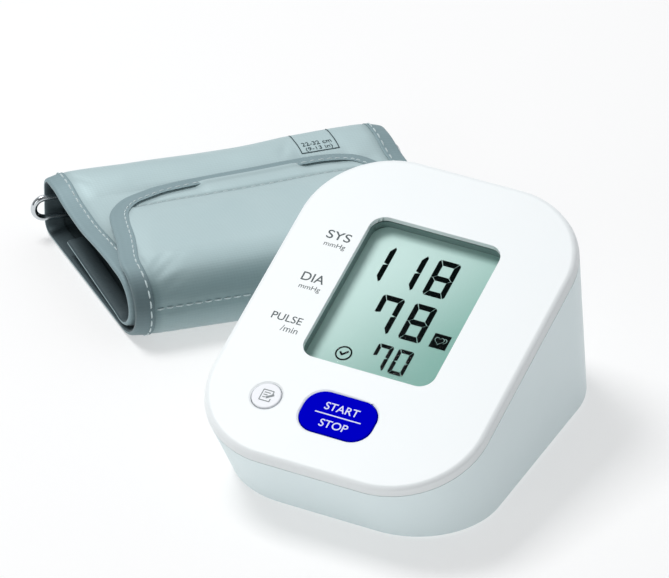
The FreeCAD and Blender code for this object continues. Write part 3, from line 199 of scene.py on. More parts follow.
@dataclass(frozen=True)
class MouldedPlastic(Finish):
    """Injection-moulded ABS from a spark-eroded tool: a soft satin with a fine even grain."""

    shade: str
    grain: float = 0.5  # a real grain is 0.1 mm; drawn coarser so that it shows
    depth: float = 0.006
    gloss: float = 0.5
    patch: float = 35.0
    spread: float = 0.06

    def dress(self, tree: Tree, shader: Node, place: Socket) -> None:
        """Add the grain and a faint drift of tone."""
        grain = add_node(tree, "TexNoise", {
            "Vector": place, "Scale": 1 / (self.grain * MM), "Detail": 2.0}).outputs["Fac"]
        satin = add_node(tree, "MapRange", {
            "Value": grain, "To Min": self.roughness - self.spread, "To Max": self.roughness + self.spread})
        bump = add_node(tree, "Bump", {"Height": grain, "Distance": self.depth * MM})
        feed(shader, {"Base Color": self.blotches(tree, place, self.shade, self.patch),
                      "Roughness": satin.outputs["Result"], "Normal": bump.outputs["Normal"],
                      "Specular IOR Level": self.gloss})


@dataclass(frozen=True)
class ClearAcrylic(Finish):
    """Cast acrylic lens: all but invisible, with a glossy face that carries faint wipe marks."""

    smear: float = 14.0
    spread: float = 0.08
    cover: float = 0.03
    gloss: float = 0.25
    bending: float = 1.49

    def dress(self, tree: Tree, shader: Node, place: Socket) -> None:
        """Let light through and break the gloss with soft smears."""
        smears = add_node(tree, "TexNoise", {"Vector": place, "Scale": 1 / (self.smear * MM), "Detail": 4.0})
        shine = add_node(tree, "MapRange", {
            "Value": smears.outputs["Fac"], "To Min": self.roughness, "To Max": self.roughness + self.spread})
        feed(shader, {"Roughness": shine.outputs["Result"], "Alpha": self.cover,
                      "Specular IOR Level": self.gloss, "IOR": self.bending})


@dataclass(frozen=True)
class DisplayGlass(Finish):
    """Reflective liquid-crystal glass: mint green with fine rows, graded from a painted reflection at the
    upper left to painted shade falling off towards the lower right.
    """

    far_colour: str
    middle: Triple
    slope: Triple
    reach: float = 31.0
    cloud: float = 30.0
    drift: float = 0.03
    row: float = 0.6
    depth: float = 0.002
    row_share: float = 0.4

    def dress(self, tree: Tree, shader: Node, place: Socket) -> None:
        """Grade the colour across the glass as painted light and rule the rows of the polariser."""
        shift = add_node(tree, "VectorMath", {0: place, 1: self.middle}, operation="SUBTRACT")
        along = add_node(tree, "VectorMath", {0: shift.outputs["Vector"], 1: self.slope},
                         operation="DOT_PRODUCT")
        share = add_node(tree, "MapRange", {
            "Value": along.outputs["Value"], "From Min": -self.reach * MM, "From Max": self.reach * MM},
            interpolation_type="SMOOTHSTEP")
        blend = add_node(tree, "Mix", {
            "Factor": share.outputs["Result"], 6: colour_of(self.colour), 7: colour_of(self.far_colour)},
            data_type="RGBA")
        clouds = add_node(tree, "TexNoise", {"Vector": place, "Scale": 1 / (self.cloud * MM)})
        tone = add_node(tree, "MapRange", {
            "Value": clouds.outputs["Fac"], "To Min": 1 - self.drift, "To Max": 1 + self.drift})
        shade = add_node(tree, "VectorMath", {0: blend.outputs[2], "Scale": tone.outputs["Result"]},
                         operation="SCALE")
        rows = add_node(tree, "TexWave", {"Vector": place, "Scale": wave_scale(self.row)},
                        bands_direction="Z")
        bump = add_node(tree, "Bump", {
            "Height": rows.outputs["Fac"], "Distance": self.depth * MM, "Strength": self.row_share})
        feed(shader, {"Base Color": shade.outputs["Vector"], "Normal": bump.outputs["Normal"]})


@dataclass(frozen=True)
class PrintedInk(Finish):
    """Pad-printed ink: matt, with a slightly uneven cover."""

    shade: str
    gloss: float = 0.3
    patch: float = 1.2

    def dress(self, tree: Tree, shader: Node, place: Socket) -> None:
        """Vary the cover of the ink."""
        feed(shader, {"Base Color": self.blotches(tree, place, self.shade, self.patch),
                      "Specular IOR Level": self.gloss})


@dataclass(frozen=True)
class LightTable(Finish):
    """Opal acrylic lit from below: white, with an even glow."""

    glow: float = 0.48
    glow_colour: str = "#FFFFFF"
    cloud: float = 400.0

    def dress(self, tree: Tree, shader: Node, place: Socket) -> None:
        """Let the sheet glow."""
        feed(shader, {"Base Color": self.blotches(tree, place, self.colour, self.cloud),
                      "Emission Color": colour_of(self.glow_colour), "Emission Strength": self.glow})


@dataclass(frozen=True)
class WovenCloth(Finish):
    """Coated nylon taffeta: a satin sheen over fine ribs, with the tone drifting in soft patches and painted
    shade laid on where a point attribute marks it.
    """

    shade: str
    rib: float = 0.9  # real threads lie 0.3 mm apart; drawn coarser so that they show
    sheen: float = 0.15
    depth: float = 0.035
    satin: float = 0.0
    # colour of painted shade, laid on where a point attribute marks it
    painted_shade: str = ""
    # colour of the back half from back_from on, painted shade for the inside of the roll
    back: str = ""
    back_from: float = 0.0
    back_blur: float = 0.2
    patch: float = 22.0
    weft: float = 1.3
    weft_share: float = 0.35

    # the sheet's own flat measures
    coordinates = "UV"

    def dress(self, tree: Tree, shader: Node, place: Socket) -> None:
        """Weave warp and weft, and lay painted shade and the tape's darker back, also painted shade, over the
        colour.
        """
        colour = self.blotches(tree, place, self.shade, self.patch)
        warp, weft = (add_node(tree, "TexWave", {
            "Vector": place, "Scale": wave_scale(spacing), "Distortion": 0.6, "Detail": 2.0,
            "Detail Scale": 0.4}, bands_direction=direction).outputs["Fac"]
            for direction, spacing in (("Y", self.rib), ("X", self.rib * self.weft)))
        weave = add_node(tree, "Mix", {"Factor": self.weft_share, 2: warp, 3: weft},
                         data_type="FLOAT").outputs[0]
        covers = []
        # painted shade, at the share that the mesh's point attribute gives
        if self.painted_shade:
            covers.append((add_node(tree, "Attribute", attribute_name="painted_shade").outputs["Fac"], self.painted_shade))
        # the tape's back half takes painted shade
        if self.back:
            parts = add_node(tree, "SeparateXYZ", {"Vector": place})
            side = add_node(tree, "MapRange", {
                "Value": parts.outputs["X"], "From Min": self.back_from * MM,
                "From Max": (self.back_from + self.back_blur) * MM})
            covers.append((side.outputs["Result"], self.back))
        for share, cover in covers:
            colour = add_node(tree, "Mix", {"Factor": share, 6: colour, 7: colour_of(cover)},
                              data_type="RGBA").outputs[2]
        shadow = add_node(tree, "MapRange", {"Value": weave, "To Min": 0.96, "To Max": 1.02})
        shaded = add_node(tree, "VectorMath", {0: colour, "Scale": shadow.outputs["Result"]},
                          operation="SCALE")
        bump = add_node(tree, "Bump", {"Height": weave, "Distance": self.depth * MM})
        feed(shader, {"Base Color": shaded.outputs["Vector"], "Normal": bump.outputs["Normal"],
                      "Metallic": self.satin, "Sheen Weight": self.sheen, "Sheen Roughness": 0.4})


@dataclass(frozen=True)
class TwistedThread(Finish):
    """Bonded polyester sewing thread: pale, with the slanting plies of its twist."""

    shade: str
    ply: float = 0.35
    depth: float = 0.05

    def dress(self, tree: Tree, shader: Node, place: Socket) -> None:
        """Draw the plies as slanting bands."""
        plies = add_node(tree, "TexWave", {"Vector": place, "Scale": wave_scale(self.ply)},
                         bands_direction="DIAGONAL").outputs["Fac"]
        mix = add_node(tree, "Mix", {"Factor": plies, 6: colour_of(self.shade), 7: colour_of(self.colour)},
                       data_type="RGBA")
        bump = add_node(tree, "Bump", {"Height": plies, "Distance": self.depth * MM})
        feed(shader, {"Base Color": mix.outputs[2], "Normal": bump.outputs["Normal"]})


@dataclass(frozen=True)
class PlatedMetal(Finish):
    """Plated or drawn metal: clear reflections with faint draw lines."""

    shade: str
    streak: float = 0.4
    stretch: float = 20.0
    depth: float = 0.004
    patch: float = 6.0
    spread: float = 0.12

    def dress(self, tree: Tree, shader: Node, place: Socket) -> None:
        """Draw fine lines along X and let the gloss vary with them."""
        drawn = add_node(tree, "Mapping", {"Vector": place, "Scale": (1 / self.stretch, 1.0, 1.0)})
        streaks = add_node(tree, "TexNoise", {
            "Vector": drawn.outputs["Vector"], "Scale": 1 / (self.streak * MM), "Detail": 2.0}).outputs["Fac"]
        shine = add_node(tree, "MapRange", {
            "Value": streaks, "To Min": self.roughness, "To Max": self.roughness + self.spread})
        bump = add_node(tree, "Bump", {"Height": streaks, "Distance": self.depth * MM})
        feed(shader, {"Base Color": self.blotches(tree, place, self.shade, self.patch), "Metallic": 1.0,
                      "Roughness": shine.outputs["Result"], "Normal": bump.outputs["Normal"]})


@dataclass(frozen=True)
class Rubber(Finish):
    """Moulded elastomer, silicone or foam: matt, pitted at a scale of its own."""

    shade: str
    pit: float = 0.8
    depth: float = 0.03
    glow: float = 0.0
    scatter: float = 2.0
    patch: float = 9.0

    def dress(self, tree: Tree, shader: Node, place: Socket) -> None:
        """Pit the surface, and let light into the clearer kinds."""
        pits = add_node(tree, "TexVoronoi", {
            "Vector": place, "Scale": 1 / (self.pit * MM), "Randomness": 1.0})
        bump = add_node(tree, "Bump", {"Height": pits.outputs["Distance"], "Distance": self.depth * MM})
        feed(shader, {"Base Color": self.blotches(tree, place, self.shade, self.patch),
                      "Normal": bump.outputs["Normal"], "Subsurface Weight": self.glow,
                      "Subsurface Scale": self.scatter * MM})


@dataclass(frozen=True)
class CircuitBoard(Finish):
    """Glass-epoxy board: green solder mask over copper tracks that show as paler lines."""

    track: str
    pitch: float = 3.2
    depth: float = 0.04
    full: float = 0.05
    bare: float = 0.12

    def dress(self, tree: Tree, shader: Node, place: Socket) -> None:
        """Lay tracks along the borders of square cells."""
        cells = add_node(tree, "TexVoronoi", {
            "Vector": place, "Scale": 1 / (self.pitch * MM), "Randomness": 0.7}, feature="DISTANCE_TO_EDGE")
        tracks = add_node(tree, "MapRange", {
            "Value": cells.outputs["Distance"], "From Min": self.full, "From Max": self.bare,
            "To Min": 1.0, "To Max": 0.0}).outputs["Result"]
        mix = add_node(tree, "Mix", {"Factor": tracks, 6: colour_of(self.colour), 7: colour_of(self.track)},
                       data_type="RGBA")
        bump = add_node(tree, "Bump", {"Height": tracks, "Distance": self.depth * MM})
        feed(shader, {"Base Color": mix.outputs[2], "Normal": bump.outputs["Normal"]})


@dataclass(frozen=True)
class CellJacket(Finish):
    """Printed foil round a battery: two plain bands with a worn satin gloss."""

    band: str
    edge: float = 8.0
    edge_blur: float = 0.2
    wear: float = 4.0
    foil: float = 0.6

    def dress(self, tree: Tree, shader: Node, place: Socket) -> None:
        """Split the jacket into two colours across the bay."""
        parts = add_node(tree, "SeparateXYZ", {"Vector": place})
        split = add_node(tree, "MapRange", {
            "Value": parts.outputs["X"], "From Min": self.edge * MM,
            "From Max": (self.edge + self.edge_blur) * MM})
        mix = add_node(tree, "Mix", {
            "Factor": split.outputs["Result"], 6: colour_of(self.colour), 7: colour_of(self.band)},
            data_type="RGBA")
        worn = add_node(tree, "TexNoise", {"Vector": place, "Scale": 1 / (self.wear * MM)})
        shine = add_node(tree, "MapRange", {
            "Value": worn.outputs["Fac"], "To Min": self.roughness - 0.05, "To Max": self.roughness + 0.15})
        feed(shader, {"Base Color": mix.outputs[2], "Roughness": shine.outputs["Result"],
                      "Metallic": self.foil})


COVER_WHITE = MouldedPlastic("moulded_abs_white", "cover_white", "#F6FAFB", 0.42, "#F3F8F9")
CASE_GREY = MouldedPlastic("moulded_abs_pale_grey", "case_grey", "#E2EFF1", 0.45, "#DCEAEC")
KEY_BLUE = MouldedPlastic("moulded_abs_blue", "key_blue", "#0000D0", 0.38, "#0000C8", gloss=0.0)
KEY_WHITE = MouldedPlastic("moulded_abs_key_white", "key_white", "#F2F4F8", 0.42, "#EDF0F5")
FRAME_TEAL = MouldedPlastic("moulded_abs_dark_teal", "frame_teal", "#839C99", 0.6, "#7B9491")
SWITCH_BLACK = MouldedPlastic("moulded_nylon_black", "switch_black", "#1B1C1E", 0.5, "#222426")
SOCKET_BLACK = MouldedPlastic("moulded_socket_black", "socket_black", "#17191B", 0.45, "#202326")
CHIP_BLACK = MouldedPlastic("moulded_epoxy_black", "chip_black", "#0E0F11", 0.55, "#15171A")
AIR_PLASTIC = MouldedPlastic("moulded_acetal_white", "air_plastic", "#E6E4DC", 0.4, "#DEDCD2")
LENS_CLEAR = ClearAcrylic("cast_acrylic_clear", "window_clear", "#000000", 0.03)
SEGMENT_BLACK = PrintedInk("liquid_crystal_dark", "display_mint", "#060C0C", 0.5, "#0A1111", gloss=0.0)
SEGMENT_CLEAR = PrintedInk("liquid_crystal_clear", "display_mint", "#A5C8C0", 0.5, "#9CC0B8", gloss=0.0)
PRINT_GREY = PrintedInk("pad_print_grey", "cover_white", "#4A5456", 0.55, "#566164")
PRINT_WHITE = PrintedInk("pad_print_white", "key_blue", "#E9EBFF", 0.55, "#DADDFB")
PRINT_CLOTH = PrintedInk("screen_print_dark", "cuff_cloth", "#33454A", 0.7, "#3D5055")
PRINT_SOFT = PrintedInk("pad_print_soft_grey", "key_white", "#83898B", 0.55, "#90979A")
# the cloth's second dark colour is painted shade along the front fold, on the seam and beside the tape
CLOTH = WovenCloth("woven_nylon_blue_grey", "cuff_cloth", "#BFD3D5", 0.55, "#B5CBCE", depth=0.02,
                   satin=0.2, painted_shade="#4F686B")
LINING = WovenCloth("woven_nylon_dark", "cuff_lining", "#2F4145", 0.7, "#27373B", depth=0.02)
# the tape's dark colours are painted shade: one along the front fold, one on its back half for the inside of
# the roll
TAPE = WovenCloth("woven_binding_tape", "binding_tape", "#8FA6AB", 0.6, "#859CA1", rib=1.2, sheen=0.1,
                  satin=0.2, painted_shade="#38494D", back="#3E4E53", back_from=7.0)
WEBBING = WovenCloth("woven_webbing_black", "webbing_black", "#14191B", 0.75, "#1B2124", rib=1.0, depth=0.1)
HOOK_TAPE = WovenCloth("woven_hook_tape", "hook_tape", "#39454A", 0.85, "#2F3B40", rib=1.6, depth=0.3)
THREAD = TwistedThread("twisted_thread_pale", "binding_tape", "#DCE8E9", 0.6, "#BFD0D2")
RING_CHROME = PlatedMetal("plated_chrome_wire", "ring_chrome", "#D9DDE0", 0.08, "#C6CCD0")
NICKEL = PlatedMetal("plated_nickel_sheet", "contact_nickel", "#C9C5BC", 0.22, "#BDB8AE")
SCREW_STEEL = PlatedMetal("plated_steel_screw", "screw_steel", "#B9BBBE", 0.28, "#A7AAAE")
SHAFT_STEEL = PlatedMetal("ground_steel_shaft", "shaft_steel", "#C4C6C9", 0.18, "#B4B7BB")
MOTOR_CAN = PlatedMetal("drawn_steel_can", "motor_can", "#AEB2B5", 0.3, "#A0A5A9")
PIN_BRASS = PlatedMetal("turned_brass_pin", "pin_brass", "#C8A65A", 0.22, "#B8964C")
FOOT_RUBBER = Rubber("moulded_rubber_grey", "foot_rubber", "#5A5F62", 0.8, "#505558")
STRIP_RUBBER = Rubber("layered_rubber_strip", "strip_rubber", "#C9A3A6", 0.6, "#2A2A2C", pit=0.5)
HOSE = Rubber("extruded_silicone", "hose_silicone", "#D8DCDD", 0.45, "#CBD0D2", pit=3.0, depth=0.01, glow=0.3)
FOAM = Rubber("open_cell_foam", "cradle_foam", "#3B3E42", 0.95, "#303337", pit=0.6, depth=0.3)
BOARD = CircuitBoard("solder_mask_green", "board_green", "#1F5B3A", 0.35, "#3C8256")
CELL = CellJacket("battery_foil", "cell_silver", "#B9BCC0", 0.3, "#2E3338")
FLOOR = LightTable("opal_acrylic_table", "floor", "#BEBEBE", 0.9)


# Tools for modelling

def clear_selection() -> None:
    """Leave edit mode and deselect everything."""
    if bpy.context.object and bpy.context.object.mode != "OBJECT":
        bpy.ops.object.mode_set(mode="OBJECT")
    bpy.ops.object.select_all(action="DESELECT")


def pick(piece: Piece) -> None:
    """Make a piece the only selected one.

    Args:
        piece: the piece.
    """
    clear_selection()
    piece.select_set(True)
    bpy.context.view_layer.objects.active = piece


def begin(name: str, primitive: Callable, **settings: object) -> Piece:
    """Start a piece from a primitive.

    Args:
        name: name of the piece.
        primitive: operator that adds the primitive.
        settings: its settings.

    Returns:
        The piece, the only selected one.
    """
    clear_selection()
    primitive(**settings)
    piece = bpy.context.object
    piece.name = name
    return piece


def put_in_scene(name: str, data: bpy.types.ID) -> Piece:
    """Make an object of new data and link it to the scene.

    Args:
        name: name of the object.
        data: mesh, light or camera that it holds.

    Returns:
        The object.
    """
    piece = bpy.data.objects.new(name, data)
    bpy.context.scene.collection.objects.link(piece)
    return piece


@contextmanager
def editing(piece: Piece) -> Iterator[None]:
    """Hold a piece in edit mode, at first with all of it selected.

    Args:
        piece: the piece.
    """
    pick(piece)
    bpy.ops.object.mode_set(mode="EDIT")
    bpy.ops.mesh.select_all(action="SELECT")
    yield
    bpy.ops.object.mode_set(mode="OBJECT")


def dress(piece: Piece, finish: Finish) -> None:
    """Give a piece a finish.

    Args:
        piece: the piece.
        finish: its finish.
    """
    piece.data.materials.clear()
    piece.data.materials.append(finish.make())


def add_modifier(piece: Piece, kind: str, **settings: object) -> None:
    """Add a modifier and apply it.

    Args:
        piece: the piece.
        kind: Blender's name of the modifier.
        settings: properties of the modifier, by name.
    """
    pick(piece)
    modifier = piece.modifiers.new(kind.lower(), kind)
    for name, value in settings.items():
        setattr(modifier, name, value)
    bpy.ops.object.modifier_apply(modifier=modifier.name)


def smooth(piece: Piece, degrees: float) -> None:
    """Shade a piece smooth up to an angle between faces."""
    pick(piece)
    bpy.ops.object.shade_smooth_by_angle(angle=math.radians(degrees))


def join(pieces: list[Piece], name: str) -> Piece:
    """Join pieces into one object.

    Args:
        pieces: the pieces; the first one takes in the others.
        name: name of the object and of its mesh.

    Returns:
        The object.
    """
    clear_selection()
    for piece in pieces:
        piece.select_set(True)
    bpy.context.view_layer.objects.active = pieces[0]
    if len(pieces) > 1:
        bpy.ops.object.join()
    pieces[0].name = name
    pieces[0].data.name = name
    return pieces[0]


def rectangle(left: float, low: float, right: float, top: float) -> Outline:
    """Corner points of an upright rectangle."""
    return (left, low), (right, low), (right, top), (left, top)


def thicken(thickness: float) -> None:
    """Raise what is selected in edit mode, and turn all faces outwards.

    Args:
        thickness: how far it is raised, in millimetres.
    """
    bpy.ops.mesh.extrude_region_move(TRANSFORM_OT_translate={"value": (0, 0, thickness * MM)})
    bpy.ops.mesh.select_all(action="SELECT")
    bpy.ops.mesh.normals_make_consistent(inside=False)


def plate(name: str, outline: Outline, thickness: float) -> Piece:
    """Raise a thin plate from a flat outline.

    Args:
        name: name of the piece.
        outline: corner points in the plane of the plate, in millimetres.
        thickness: thickness of the plate in millimetres.

    Returns:
        The plate, flat at the origin.
    """
    piece = begin(name, bpy.ops.mesh.primitive_circle_add, vertices=len(outline), fill_type="NGON")
    for vertex, (x, y) in zip(piece.data.vertices, outline):
        vertex.co = (x * MM, y * MM, 0.0)
    with editing(piece):
        thicken(thickness)
    return piece


def hoop(name: str, radius: float, width: float, thickness: float) -> Piece:
    """Raise a flat round hoop.

    Args:
        name: name of the piece.
        radius: outer radius in millimetres.
        width: width of the hoop in millimetres.
        thickness: thickness of the hoop in millimetres.

    Returns:
        The hoop, flat at the origin.
    """
    piece = begin(name, bpy.ops.mesh.primitive_circle_add, vertices=64, radius=radius * MM)
    with editing(piece):
        bpy.ops.mesh.extrude_edges_move()
        bpy.ops.transform.resize(value=((radius - width) / radius,) * 3)
        bpy.ops.mesh.select_all(action="SELECT")
        thicken(thickness)
    return piece


def swept_sheet(name: str, rows: int, columns: int, place: Callable[[float, float], Vector],
                flat: Callable[[float, float], Pair]) -> Piece:
    """Shape a grid into a sheet.

    Args:
        name: name of the piece.
        rows: cells along the first direction.
        columns: cells along the second direction.
        place: gives the point for two shares from 0 to 1.
        flat: gives the flat measures in metres for the same shares, which the UV map keeps.

    Returns:
        The sheet; its faces look to the side that the first direction turned onto the second gives.
    """
    piece = begin(name, bpy.ops.mesh.primitive_grid_add, x_subdivisions=rows, y_subdivisions=columns,
                  size=2.0)
    mesh = piece.data
    shares = [(round((v.co.x + 1) / 2 * rows) / rows, round((v.co.y + 1) / 2 * columns) / columns)
              for v in mesh.vertices]
    layer = mesh.uv_layers[0]
    for loop in mesh.loops:
        layer.data[loop.index].uv = flat(*shares[loop.vertex_index])
    for vertex, share in zip(mesh.vertices, shares):
        vertex.co = place(*share)
    mesh.update()
    return piece


def words(text: str, size: Pair, thickness: float, weight: float = 0.0) -> Piece:
    """Set plain words as a flat mesh.

    Args:
        text: what is written.
        size: width and height of the words in millimetres.
        thickness: thickness of the letters in millimetres.
        weight: how much the strokes are thickened, as a share of the letter size.

    Returns:
        The words, flat round the origin.
    """
    clear_selection()
    bpy.ops.object.text_add()
    data = bpy.context.object.data
    data.body = text
    data.offset = weight
    data.extrude = 0.01
    bpy.ops.object.convert(target="MESH")
    piece = bpy.context.object
    corners = [Vector(corner) for corner in piece.bound_box]
    low = Vector([min(c[i] for c in corners) for i in range(3)])
    high = Vector([max(c[i] for c in corners) for i in range(3)])
    scale = [wanted * MM / had for wanted, had in zip((*size, thickness), high - low)]
    piece.data.transform(Matrix.Diagonal((*scale, 1)) @ Matrix.Translation(-(low + high) / 2))
    return piece


def merged_copy(solid: Piece, name: str) -> Piece:
    """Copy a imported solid, which is loose triangles, and merge its points.

    Args:
        solid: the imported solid.
        name: name of the copy.

    Returns:
        The copy.
    """
    piece = put_in_scene(name, solid.data.copy())
    with editing(piece):
        bpy.ops.mesh.remove_doubles(threshold=WELD * MM)
    return piece


def skin(solid: Piece, finish: Finish) -> None:
    """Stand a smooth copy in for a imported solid.

    Args:
        solid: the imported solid.
        finish: finish of the copy.
    """
    piece = merged_copy(solid, f"{solid.name}_skin")
    smooth(piece, 25)
    add_modifier(piece, "WEIGHTED_NORMAL", keep_sharp=True)
    dress(piece, finish)
    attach(piece, solid["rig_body"])
    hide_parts(solid.name)
    LOG.info("smoothed %s", solid.name)


def smooth_step(value: float, low: float, high: float) -> float:
    """Rise from 0 to 1 between two values, softly at both ends."""
    share = min(max((value - low) / (high - low), 0.0), 1.0)
    return share * share * (3 - 2 * share)


def hump(value: float, middle: float, width: float) -> float:
    """A bell of height 1 round a middle."""
    return math.exp(-((value - middle) / width) ** 2)


def through(points: Outline, value: float) -> float:
    """Height of a smooth curve through points, at a value of its first coordinate.

    Args:
        points: points in rising order of their first coordinate.
        value: where the height is wanted.

    Returns:
        The height, on cubic pieces whose slopes come from the neighbouring points.
    """
    last = len(points) - 1
    index = max(i for i in range(last) if i == 0 or points[i][0] <= value)

    def slope(i: int) -> float:
        """Slope of the curve at a point."""
        before, after = points[max(i - 1, 0)], points[min(i + 1, last)]
        return (after[1] - before[1]) / (after[0] - before[0])

    (x0, y0), (x1, y1) = points[index], points[index + 1]
    step = x1 - x0
    share = min(max((value - x0) / step, 0.0), 1.0)
    square, cube = share * share, share ** 3
    return ((2 * cube - 3 * square + 1) * y0 + (cube - 2 * square + share) * step * slope(index)
            + (3 * square - 2 * cube) * y1 + (cube - square) * step * slope(index + 1))


# Studio

@dataclass
class Studio:
    """Pale floor, soft light and the camera at the photograph's angle, with places and lengths in metres."""

    aim: Triple = (-0.01335, -0.03156, 0.07102)
    azimuth: float = 26.63
    elevation: float = 33.79
    distance: float = 1.9
    lens: float = 304.44
    sensor: float = 36.0
    floor_side: float = 6.0
    sky: str = "#FAFCFF"
    sky_front: float = 0.14
    sky_back: float = 0.58
    sky_turn: Pair = (-0.8, 0.6)
    # name, place, side in metres and power in watts of each light
    lamps: tuple[tuple[str, Triple, float, float], ...] = (
        ("key_light", (-0.68, 0.03, 1.5), 0.6, 16.0), ("front_light", (-0.3, -1.8, 0.6), 1.0, 5.0))

    def build(self) -> None:
        """Set up floor, light and camera."""
        self.floor()
        self.light()
        self.camera()

    def floor(self) -> None:
        """Lay the floor."""
        piece = begin("floor", bpy.ops.mesh.primitive_plane_add, size=self.floor_side)
        dress(piece, FLOOR)

    def light(self) -> None:
        """Sky that is brighter behind the object, a key light from the upper left and a weak front light."""
        scene = bpy.context.scene
        scene.view_settings.view_transform = "Standard"
        world = bpy.data.worlds.new("studio_sky")
        world.use_nodes = True
        tree = world.node_tree
        way = add_node(tree, "TexCoord").outputs["Generated"]
        parts = add_node(tree, "SeparateXYZ", {"Vector": way})
        strength = add_node(tree, "MapRange", {
            "Value": parts.outputs["Y"], "From Min": self.sky_turn[0], "From Max": self.sky_turn[1],
            "To Min": self.sky_front, "To Max": self.sky_back})
        feed(tree.nodes["Background"], {"Color": colour_of(self.sky), "Strength": strength.outputs["Result"]})
        scene.world = world
        for lamp in self.lamps:
            self.lamp(*lamp)

    def lamp(self, name: str, place: Triple, side: float, power: float) -> None:
        """Hang a square light that faces the object.

        Args:
            name: name of the light.
            place: where it hangs.
            side: length of its side.
            power: its power in watts.
        """
        data = bpy.data.lights.new(name, "AREA")
        data.size = side
        data.energy = power
        lamp = put_in_scene(name, data)
        lamp.location = place
        lamp.rotation_euler = (Vector(self.aim) - Vector(place)).to_track_quat("-Z", "Y").to_euler()

    def camera(self) -> None:
        """Place the camera on its line of sight."""
        data = bpy.data.cameras.new("photo_camera")
        data.lens = self.lens
        data.sensor_width = self.sensor
        data.clip_end = 20.0
        camera = put_in_scene("photo_camera", data)
        turn, rise = math.radians(self.azimuth), math.radians(self.elevation)
        back = Vector((math.sin(turn) * math.cos(rise), -math.cos(turn) * math.cos(rise), math.sin(rise)))
        camera.location = Vector(self.aim) + back * self.distance
        camera.rotation_euler = back.to_track_quat("Z", "Y").to_euler()
        bpy.context.scene.camera = camera


# Desk unit

class Segment(Enum):
    """The bars of a display figure: each one's shape, and whether it is mirrored across and up and down."""

    TOP = ("level", False, False)
    MIDDLE = ("middle", False, False)
    BOTTOM = ("level", False, True)
    UPPER_LEFT = ("upright", True, False)
    UPPER_RIGHT = ("upright", False, False)
    LOWER_LEFT = ("upright", True, True)
    LOWER_RIGHT = ("upright", False, True)


FIGURES = {
    "0": (Segment.TOP, Segment.BOTTOM, Segment.UPPER_LEFT, Segment.UPPER_RIGHT, Segment.LOWER_LEFT,
          Segment.LOWER_RIGHT),
    "1": (Segment.UPPER_RIGHT, Segment.LOWER_RIGHT),
    "7": (Segment.TOP, Segment.UPPER_LEFT, Segment.UPPER_RIGHT, Segment.LOWER_RIGHT),
    "8": tuple(Segment),
}


